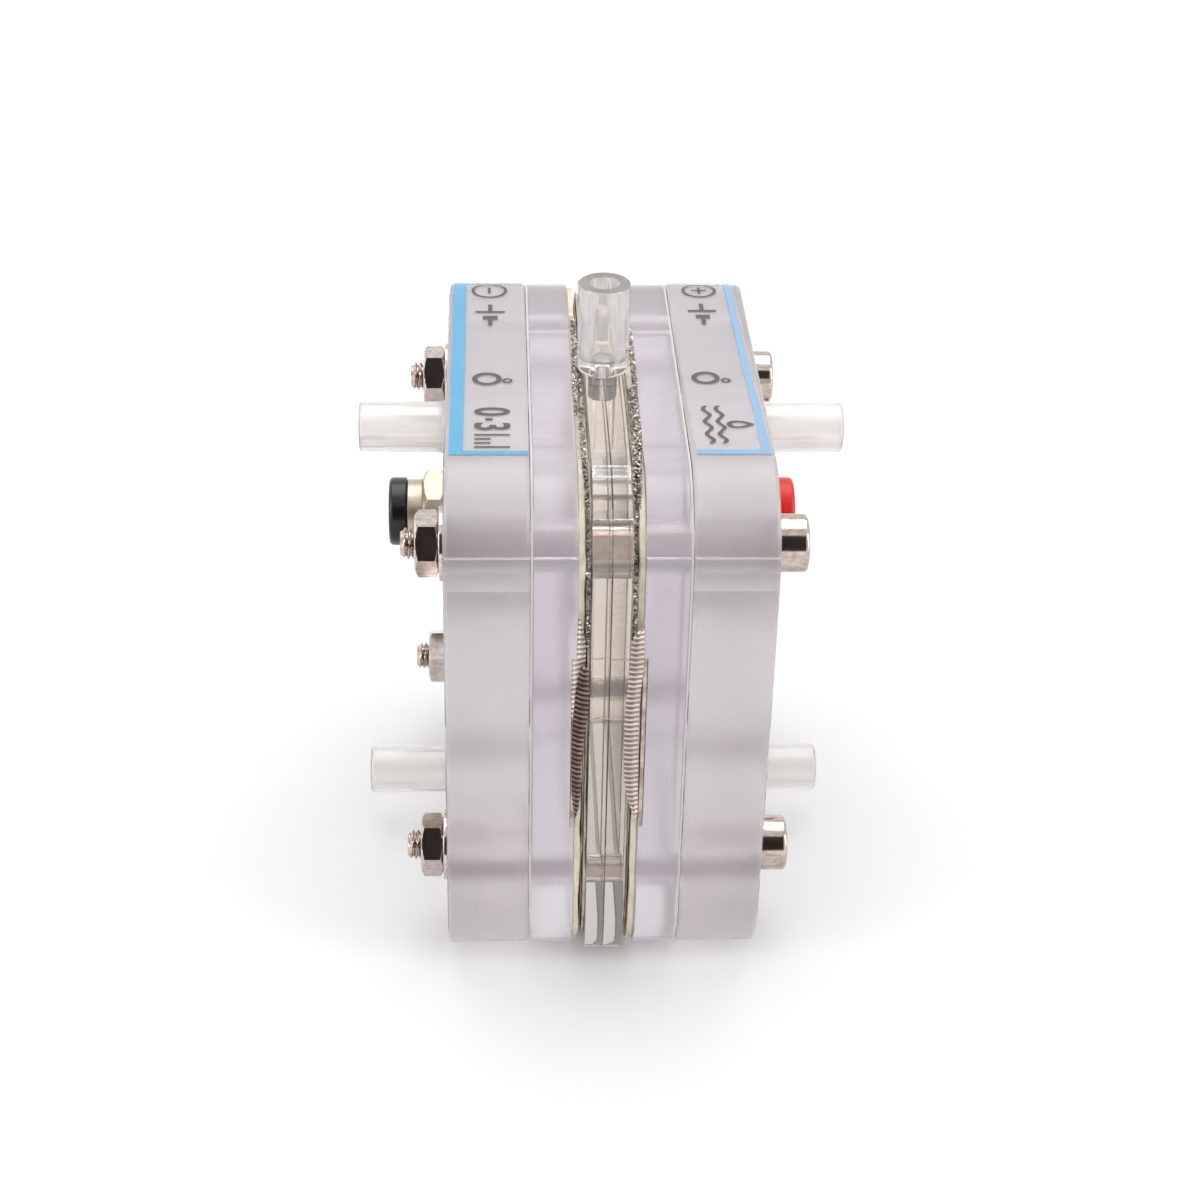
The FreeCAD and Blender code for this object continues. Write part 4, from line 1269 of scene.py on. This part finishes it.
def crumpledEdgeTree():
    # short strands strewn along a path, each turned its own way, as a torn net catches the light
    tree, given = startTree(
        "crumpledEdge", part="Object", pitch="Float", scatter="Float", tilt="Vector", seed="Int")
    curve = addNode(tree, "GeometryNodeMeshToCurve", {"Mesh": given["Geometry"]})
    walked = addNode(tree, "GeometryNodeResampleCurve", {
        "Curve": curve, "Length": given["pitch"]}, mode="LENGTH")
    reach = addNode(tree, "GeometryNodeInputNamedAttribute", {"Name": "reach"}, data_type="FLOAT")
    other = addNode(tree, "ShaderNodeMath", {0: given["seed"], 1: 7.0}, operation="ADD")
    chance, angle = (addNode(tree, "FunctionNodeRandomValue", {
        0: (-1, -1, -1), 1: (1, 1, 1), 8: seed}, data_type="FLOAT_VECTOR") for seed in (given["seed"], other))
    spread = addNode(tree, "ShaderNodeCombineXYZ", {"X": reach, "Y": given["scatter"], "Z": given["scatter"]})
    offset = addNode(tree, "ShaderNodeVectorMath", {0: chance, 1: spread}, operation="MULTIPLY")
    moved = addNode(tree, "GeometryNodeSetPosition", {"Geometry": walked, "Offset": offset})
    turned = addNode(tree, "ShaderNodeVectorMath", {0: angle, 1: given["tilt"]}, operation="MULTIPLY")
    part = addNode(tree, "GeometryNodeObjectInfo", {"Object": given["part"]}).outputs["Geometry"]
    return endTree(tree, given, addNode(tree, "GeometryNodeInstanceOnPoints", {
        "Points": moved, "Instance": part, "Rotation": turned}))


def smoothPath(path, steps=8):
    # a line through the points, bent smoothly, with so many steps between two of them
    points = []
    for index in range(len(path) - 1):
        near = (min(max(index + k, 0), len(path) - 1) for k in (-1, 0, 1, 2))
        before, start, end, after = (Vector(path[k]) for k in near)
        for step in range(steps):
            t = step / steps
            bend = (2 * before - 5 * start + 4 * end - after) * t * t
            twist = (3 * start - before - 3 * end + after) * t ** 3
            points.append(0.5 * (2 * start + (end - before) * t + bend + twist))
    return points


def ribbonMesh(points, sign, seed):
    # the folded sheet under the strands, dented all over
    steps, breadth, depth, sunk = 6, 0.6, 0.22, 0.25
    corners = []
    for index, (y, z, x, half) in enumerate(points):
        away = Vector((y * 0.6, z - stackValues["middle"])).normalized()
        for step in range(steps + 1):
            across = (step / steps - 0.5) * breadth * half
            dent = depth * noise.noise(Vector((index * 0.9, step * 0.8, seed))) - sunk
            corners.append((sign * (x + across), y + away.x * dent, z + away.y * dent))
    return plainMesh("ribbon", corners, gridFaces(len(points), steps + 1))


def makeElectrodes(v, side, sign, sheetTree, edgeTree):
    across, up, thickness = v["pitchAcross"], v["pitchUp"], v["strandThickness"]
    columns, rows = int(v["width"] / across), int(v["height"] / up)
    for kind, material in (("oxygen", expandedNickel), ("hydrogen", rolledNickel)):
        sheet = v[kind]
        arms = []
        for x, y in ((-1, -1), (-1, 1), (1, -1), (1, 1)):
            end = (x * across / 2, y * up / 2)
            arms.append(barMesh((0, 0), end, sheet["strandWidth"], thickness, sheet["twist"] * x))
        cell = newObject("cell", joinMeshes("cell", arms))
        mesh = grownMesh(
            sheetTree, part=cell, width=(columns - 1) * across * mm, height=(rows - 1) * up * mm,
            columns=columns, rows=rows, crumple=sheet["crumple"] * mm, finish=material)
        bpy.data.objects.remove(cell)
        standUpright(mesh, sign * sheet["at"], sign)
        addOnSide(side, kind + "Electrode", mesh, material, "expanded_metal", kind + "_electrode")
    half = v["scrapLength"] / 2
    scrap = barMesh((-half, 0), (half, 0), v["scrapWidth"], v["scrapThickness"], v["scrapTwist"])
    scrap = newObject("scrap", scrap)
    for index, path in enumerate(edgePaths[side]):
        points = smoothPath(path)
        edges = [(i, i + 1) for i in range(len(points) - 1)]
        line = plainMesh("path", [(sign * x, y, z) for y, z, x, _ in points], [], edges)
        reach = line.attributes.new("reach", "FLOAT", "POINT")
        reach.data.foreach_set("value", [point[3] * v["reach"] * mm for point in points])
        strewn = grownMesh(
            edgeTree, line, part=scrap, pitch=v["scrapPitch"] * mm, scatter=v["scrapScatter"] * mm,
            tilt=v["scrapTilt"], seed=3 + index + (10 if sign > 0 else 0), finish=crumpledNickel)
        mesh = joinMeshes("crumpledEdge", (strewn, ribbonMesh(points, sign, index + sign * 5)))
        addObject("crumpledEdge" + side + str(index + 1), mesh, crumpledNickel, "expanded_metal")
    bpy.data.objects.remove(scrap)


sheetTree, edgeTree = expandedSheetTree(), crumpledEdgeTree()
for side, sign in sides:
    makeElectrodes(electrodeValues, side, sign, sheetTree, edgeTree)
print("electrodes made")


# ribbed current collectors

collectorValues = {
    "low": 3.04,
    "high": 3.44,
    "front": -26.9,
    "rear": 20.7,
    "foot": 18.7,
    "top": 37.7,
    "softness": 0.04,
    "slots": 7,
    "slotWidth": 1.6,
    "slotHeight": 13,
    "ribPitch": 0.53,
    "ribHeight": 0.12,
    "thickness": 0.06,
}

# outlines of the folded lips, seen from the front: (Z, X of the edge near the middle, X of the outer edge)
lipOutlines = {
    "rightLip": (
        (41.3, 2.85, 2.95), (40.6, 2.1, 3.0), (39.3, 1.84, 3.06), (37.3, 1.78, 3.08), (35, 1.65, 2.92),
        (33.4, 1.52, 2.8), (31, 1.44, 2.77), (28.9, 1.46, 2.8), (26.2, 1.52, 2.88), (24, 1.65, 2.92),
        (22.1, 2.03, 2.94), (20.7, 2.42, 2.94), (20.1, 2.75, 2.9)),
    "leftLip": (
        (37.4, 2.1, 2.25), (36.8, 2.0, 2.68), (35.5, 1.95, 2.97), (33.7, 1.84, 3.17), (31.6, 1.98, 3.3),
        (29, 2.3, 3.38), (26.2, 2.5, 3.42), (23.5, 2.48, 3.34), (21.4, 2.62, 3.18), (20.2, 2.88, 3.02)),
    "leftRoot": (
        (42, 2.8, 2.95), (40.5, 2.45, 3.0), (39.5, 2.3, 3.02), (37.95, 2.22, 3.04), (37.7, 2.22, 3.5),
        (36.5, 2.4, 3.5), (35.4, 2.6, 3.5), (33.5, 2.9, 3.5), (31, 3.1, 3.5)),
}

# for each lip: its side, the Y of its front, its bow, the slant of its ribs and its finish
lips = {
    "leftRoot": ("Left", -26.9, 0.04, -0.35, ribbedNickel),
    "leftLip": ("Left", -27.35, 0.08, 0.3, shadedRibbedNickel),
    "rightLip": ("Right", -27.4, 0.08, 0.06, ribbedNickel),
}


def rolledRibsTree():
    # waves a flat strip into rolled ribs, which cross it at a slant, and keeps how high each place lies
    tree, given = startTree("rolledRibs", pitch="Float", height="Float", slant="Float")
    finer = addNode(tree, "GeometryNodeSubdivideMesh", {"Mesh": given["Geometry"], "Level": 2})
    place = addNode(tree, "GeometryNodeInputPosition")
    place = addNode(tree, "ShaderNodeSeparateXYZ", {"Vector": place}).outputs
    skew = addNode(tree, "ShaderNodeMath", {
        0: place["X"], 1: given["slant"], 2: place["Z"]}, operation="MULTIPLY_ADD")
    count = addNode(tree, "ShaderNodeMath", {0: skew, 1: given["pitch"]}, operation="DIVIDE")
    angle = addNode(tree, "ShaderNodeMath", {0: count, 1: 2 * math.pi}, operation="MULTIPLY")
    wave = addNode(tree, "ShaderNodeMath", {0: angle}, operation="COSINE")
    depth = addNode(tree, "ShaderNodeMath", {0: wave, 1: given["height"]}, operation="MULTIPLY")
    offset = addNode(tree, "ShaderNodeCombineXYZ", {"Y": depth})
    moved = addNode(tree, "GeometryNodeSetPosition", {"Geometry": finer, "Offset": offset})
    # how high each place lies, from which the nickel material paints shade into the grooves
    crest = addNode(tree, "ShaderNodeMath", {0: wave, 1: -0.5, 2: 0.5}, operation="MULTIPLY_ADD")
    kept = addNode(tree, "GeometryNodeStoreNamedAttribute", {
        "Geometry": moved, "Name": "crest", "Value": crest}, data_type="FLOAT", domain="POINT")
    return endTree(tree, given, kept)


def lipBase(outline, sign, front, curl, rows=96, columns=5):
    # a flat strip between the two edges of an outline, bowed over four fifths of its width and turned back
    bowRate, backFrom, backSlope = 1.25, 0.75, 0.35
    corners = []
    top, foot = outline[0][0], outline[-1][0]
    for row in range(rows + 1):
        z = top + (foot - top) * row / rows
        near, far = edgesAt(outline, z)
        for column in range(columns + 1):
            u = column / columns
            y = front - curl * math.sin(math.pi * min(u * bowRate, 1)) + backSlope * max(u - backFrom, 0)
            corners.append((sign * (near + (far - near) * u), y, z))
    return plainMesh("lip", corners, gridFaces(rows + 1, columns + 1))


def boxOutline(a, b, c, d):
    return [(a, b), (c, b), (c, d), (a, d)]


def makeCollector(v, side, sign, tree):
    middle = stackValues["middle"]
    foot, top = v["foot"] - middle, v["top"] - middle
    pitch = stackValues["window"][0] / (v["slots"] + 0.5)
    half, rise, up = v["slotWidth"] / 2, (foot + top) / 2, v["slotHeight"] / 2
    places = [(index - (v["slots"] - 1) / 2) * pitch for index in range(v["slots"])]
    slots = [boxOutline(y - half, rise - up, y + half, rise + up) for y in places]
    strip = boxOutline(v["front"], foot, v["rear"], top)
    mesh = cutSheet("collectorStrip", [strip, *slots], span(sign, v["low"], v["high"]), v["softness"])
    addOnSide(side, "collectorStrip", mesh, slottedNickel, "ribbed_nickel", "collector")
    for name, (home, front, curl, slant, material) in lips.items():
        if home == side:
            mesh = grownMesh(
                tree, lipBase(lipOutlines[name], sign, front, curl), v["thickness"], pitch=v["ribPitch"] * mm,
                height=v["ribHeight"] / 2 * mm, slant=slant, finish=material)
            addObject(name, tidyMesh(mesh, 50), material, "ribbed_nickel")


ribsTree = rolledRibsTree()
for side, sign in sides:
    makeCollector(collectorValues, side, sign, ribsTree)
print("collectors made")


# labels: a clear film on each outer plate's top edge, with generic print

labelValues = {
    "flat": 36,  # the film's length on the flat edge; the rest bends down over the rear corner
    "front": -18,
    "corner": 9,
    "thickness": 0.08,
    "glue": 0.01,
    "inkLift": 0.1,
    "ripple": 0.03,
    "rippleScale": (0.25, 0.45),  # waves in each millimetre across and along the film
    # films and stripes as rows of (length from the front end, X of one edge, X of the other)
    "film": {
        "Left": [(0, -14.72, -7.42), (24, -14.72, -7.45), (39.4, -14.75, -7.55)],
        "Right": [(0.1, 14.85, 7.95), (8, 14.85, 7.8), (20, 14.6, 7.6), (39.4, 14.25, 7.3)],
    },
    "stripes": {
        "Left": [
            [(0, -14.7, -13.4), (24, -14.7, -13.4), (39.3, -14.72, -13.45)],
            [(0, -13.4, -7.44), (0.72, -13.4, -7.44)],
            [(38.7, -13.45, -7.6), (39.3, -13.45, -7.6)],
        ],
        "Right": [
            [(0.1, 14.84, 14.0), (8, 14.65, 13.85), (16, 14.38, 13.7), (34, 14.1, 13.43),
             (39.3, 14.0, 13.35)],
            [(0.15, 14.0, 7.97), (1.0, 13.99, 7.95)],
            [(38.9, 13.35, 7.4), (39.35, 13.35, 7.4)],
        ],
    },
    "stripeInk": {"Left": blueInk, "Right": paleBlueInk},
}


def labelPoint(v, x, s, lift):
    # a place on the film: X, the length from its front end, and the height over the plate's edge
    bent = max(s - v["flat"], 0)
    angle = bent / v["corner"]
    radius = v["corner"] + lift
    y = v["front"] + s - bent + radius * math.sin(angle)
    return x, y, stackValues["side"] - v["corner"] + radius * math.cos(angle)


def bandMesh(v, edges, lowLift, highLift, ripple=0):
    # a strip of film or ink between two edges, closed all round
    steps, wide = 60, 9
    scaleAcross, scaleAlong = v["rippleScale"]
    top, under = [], []
    for row in range(steps + 1):
        s = edges[0][0] + (edges[-1][0] - edges[0][0]) * row / steps
        near, far = edgesAt(edges, s)
        for column in range(wide):
            x = near + (far - near) * column / (wide - 1)
            wave = ripple * noise.noise(Vector((x * scaleAcross, s * scaleAlong, 4)))
            top.append(labelPoint(v, x, s, highLift + ripple / 2 + wave))
            under.append(labelPoint(v, x, s, lowLift))
    count = len(top)
    faces = gridFaces(steps + 1, wide)
    faces += [[count + corner for corner in reversed(face)] for face in faces]
    rim = [*range(wide), *range(2 * wide - 1, count, wide), *range(count - 2, count - wide - 1, -1)]
    rim += range(count - 2 * wide, 0, -wide)
    faces += [(start, start + count, end + count, end) for start, end in zip(rim, rim[1:] + rim[:1])]
    return tidyMesh(plainMesh("film", top + under, faces))


def flatShape(*outlines):
    return evaluatedMesh(newObject("print", filledCurve("print", outlines)))


def flatDigit(digit, x, s, height, width):
    # a digit turned a quarter to the right, so that its top points towards +X
    curve = bpy.data.curves.new("digit", "FONT")
    curve.body = digit
    curve.size = mm
    curve.offset = 0.02 * mm
    mesh = evaluatedMesh(newObject("digit", curve))
    across = [vertex.co.x for vertex in mesh.vertices]
    up = [vertex.co.y for vertex in mesh.vertices]
    for vertex in mesh.vertices:
        u = (vertex.co.x - min(across)) / (max(across) - min(across)) - 0.5
        w = (vertex.co.y - min(up)) / (max(up) - min(up)) - 0.5
        vertex.co = ((x + w * height) * mm, (s - u * width) * mm, 0)
    return mesh


def ring(x, s, wide, high, line):
    turns = [a * math.pi / 24 for a in range(48)]
    return flatShape(*[
        [(x + (wide / 2 - inset) * math.cos(a), s + (high / 2 - inset) * math.sin(a)) for a in turns]
        for inset in (0, line)])


def bar(x1, s1, x2, s2):
    return flatShape(boxOutline(x1, s1, x2, s2))


def waveBand(x, start, end, height, line):
    steps = 28
    middle = [(x + height * math.sin(k / steps * 6 * math.pi), start + (end - start) * k / steps)
              for k in range(steps + 1)]
    back = [(a + line / 2, s) for a, s in reversed(middle)]
    return flatShape([(a - line / 2, s) for a, s in middle] + back)


def dropShape(x, s, size, line):
    def outline(scale):
        points = []
        for k in range(40):
            a = 2 * math.pi * k / 40
            nose = 1 + math.cos(a)
            along = 0.62 * math.cos(a) + 0.1 * nose ** 2 - 0.1
            across = 0.5 * math.sin(a) * (1 - nose ** 3 / 16)
            points.append((x + size * scale * along, s + size * scale * across))
        return points
    return flatShape(outline(1), outline(1 - 2 * line / size))


def cellSign(x, s, wide):
    # the sign of one cell: a long thin plate, a short thick one and their wires
    return [
        bar(x - wide / 2, s + 0.5, x + wide / 2, s + 0.95), bar(x - wide / 4, s - 1.1, x + wide / 4, s - 0.2),
        bar(x - 0.22, s + 0.95, x + 0.22, s + 2.5), bar(x - 0.22, s - 2.5, x + 0.22, s - 1.1)]


def printedSigns():
    # a circled minus or plus, a cell and two bubbles on each, with a scale on the left and water on the right
    ticks = [bar(-12.4, 1.3 + 0.8 * k, -9.1 if k in (0, 3) else -10.9, 1.62 + 0.8 * k) for k in range(4)]
    left = [
        ring(-11.05, 36.0, 3.7, 3.7, 0.32), bar(-11.2, 35.3, -10.9, 36.75), *cellSign(-10.95, 30.0, 3.0),
        ring(-11.25, 15.45, 2.85, 2.75, 0.5), ring(-9.3, 15.05, 1.05, 1.05, 0.28),
        flatDigit("0", -10.75, 8.55, 3.4, 1.7), bar(-11.4, 6.75, -10.7, 7.2),
        flatDigit("3", -10.75, 5.55, 3.4, 1.5), *ticks,
    ]
    right = [
        ring(10.68, 36.2, 3.6, 3.6, 0.32), bar(10.53, 35.4, 10.83, 37.0), bar(9.9, 36.05, 11.46, 36.35),
        *cellSign(10.65, 30.4, 2.9), ring(9.87, 15.75, 2.75, 2.7, 0.5), ring(11.8, 15.2, 1.0, 1.0, 0.27),
        waveBand(9.4, 2.2, 9.8, 0.28, 0.42), waveBand(10.6, 2.2, 9.8, 0.28, 0.42),
        dropShape(12.25, 6.0, 1.6, 0.36),
    ]
    return {"Left": left, "Right": right}


def makeLabels(v, side, signs):
    film = bandMesh(v, v["film"][side], v["glue"], v["thickness"], v["ripple"])
    addOnSide(side, "labelFilm", film, labelFilm, "label_film", "label")
    lift = v["inkLift"] + v["ripple"]
    strips = [bandMesh(v, edges, v["thickness"] + v["ripple"], lift) for edges in v["stripes"][side]]
    addObject("labelStripes" + side, joinMeshes("stripes", strips), v["stripeInk"][side], "label_film")
    work = bmesh.new()
    for shape in signs:
        work.from_mesh(shape)
    for vertex in work.verts:
        vertex.co = Vector(labelPoint(v, vertex.co.x / mm, vertex.co.y / mm, lift)) * mm
    work.normal_update()
    for face in work.faces:
        if face.normal.z < 0:
            face.normal_flip()
    addObject("labelSigns" + side, workedMesh("labelSigns" + side, work), darkInk, "label_film")


signs = printedSigns()
for side, sign in sides:
    makeLabels(labelValues, side, signs[side])
print("labels made")


# a patch on the centre frames where the glue was scraped off, and beads of cement across their front

patchValues = {
    "halfWidth": 1.75,
    "from": 3.5,
    "to": 17,
    "line": 0.3,
    "cells": (60, 26),
    "corner": (-19.4, 46.4),
    "lift": 0.03,
    "bumps": 0.05,
    "ragged": 0.25,  # how unevenly wide the line is
    "bareFrom": 0.08,  # the pattern's value above which the glue is gone
}
seamValues = {
    "levels": (37.75, 31.15),
    "halfWidth": 1.72,
    "front": -26.98,
    "height": 0.1,
    "width": 0.3,
    "wander": 0.35,
}


def makePatch(v):
    columns, rows = v["cells"]
    radius = plateValues["frameCornerRadius"]
    wide, arc = 2 * v["halfWidth"], math.radians(v["to"] - v["from"]) * radius
    corners = []
    for row in range(rows + 1):
        angle = math.radians(v["from"] + (v["to"] - v["from"]) * row / rows)
        for column in range(columns + 1):
            bump = v["bumps"] * noise.noise(Vector((column * 0.9, row * 0.9, 8)))
            out = radius + v["lift"] + bump
            corners.append((
                (column / columns - 0.5) * wide, v["corner"][0] - out * math.sin(angle),
                v["corner"][1] + out * math.cos(angle)))
    faces = []
    for face in gridFaces(rows + 1, columns + 1):
        row, column = divmod(face[0], columns + 1)
        x, s = (column + 0.5) / columns * wide, (row + 0.5) / rows * arc
        ragged = v["line"] + v["ragged"] * noise.noise(Vector((column * 0.35, row * 0.5, 2)))
        bare = noise.noise(Vector((column * 0.6, row * 0.6, 5))) > v["bareFrom"]
        if min(x, wide - x, s, arc - s) < ragged and not bare:
            faces.append(face)
    used = sorted({corner for face in faces for corner in face})
    faces = [[used.index(corner) for corner in face] for face in faces]
    mesh = plainMesh("patch", [corners[corner] for corner in used], faces)
    addObject("scrapedPatch", tidyMesh(mesh), scrapedAcrylic, "frame_acrylic")


def makeSeams(v):
    steps, around = 40, 7
    parts = []
    for index, level in enumerate(v["levels"]):
        corners = []
        for step in range(steps + 1):
            x = (step / steps * 2 - 1) * v["halfWidth"]
            z = level + v["wander"] * noise.noise(Vector((x * 0.9, index * 5, 1)))
            wide = v["width"] * (0.6 + 0.5 * noise.noise(Vector((x * 2.2, index * 5, 7))))
            high = v["height"] * (0.8 + noise.noise(Vector((x * 1.7, index * 5, 3))))
            for angle in (math.pi * k / (around - 1) for k in range(around)):
                corners.append((x, v["front"] - high * math.sin(angle), z + wide / 2 * math.cos(angle)))
        faces = gridFaces(steps + 1, around, ringed=True)
        faces += [range(around - 1, -1, -1), range(steps * around, steps * around + around)]
        parts.append(tidyMesh(plainMesh("seam", corners, faces), 60))
    addObject("cementBeads", joinMeshes("beads", parts), clearAcrylic, "frame_acrylic")


makePatch(patchValues)
makeSeams(seamValues)
print("patch and seams made")
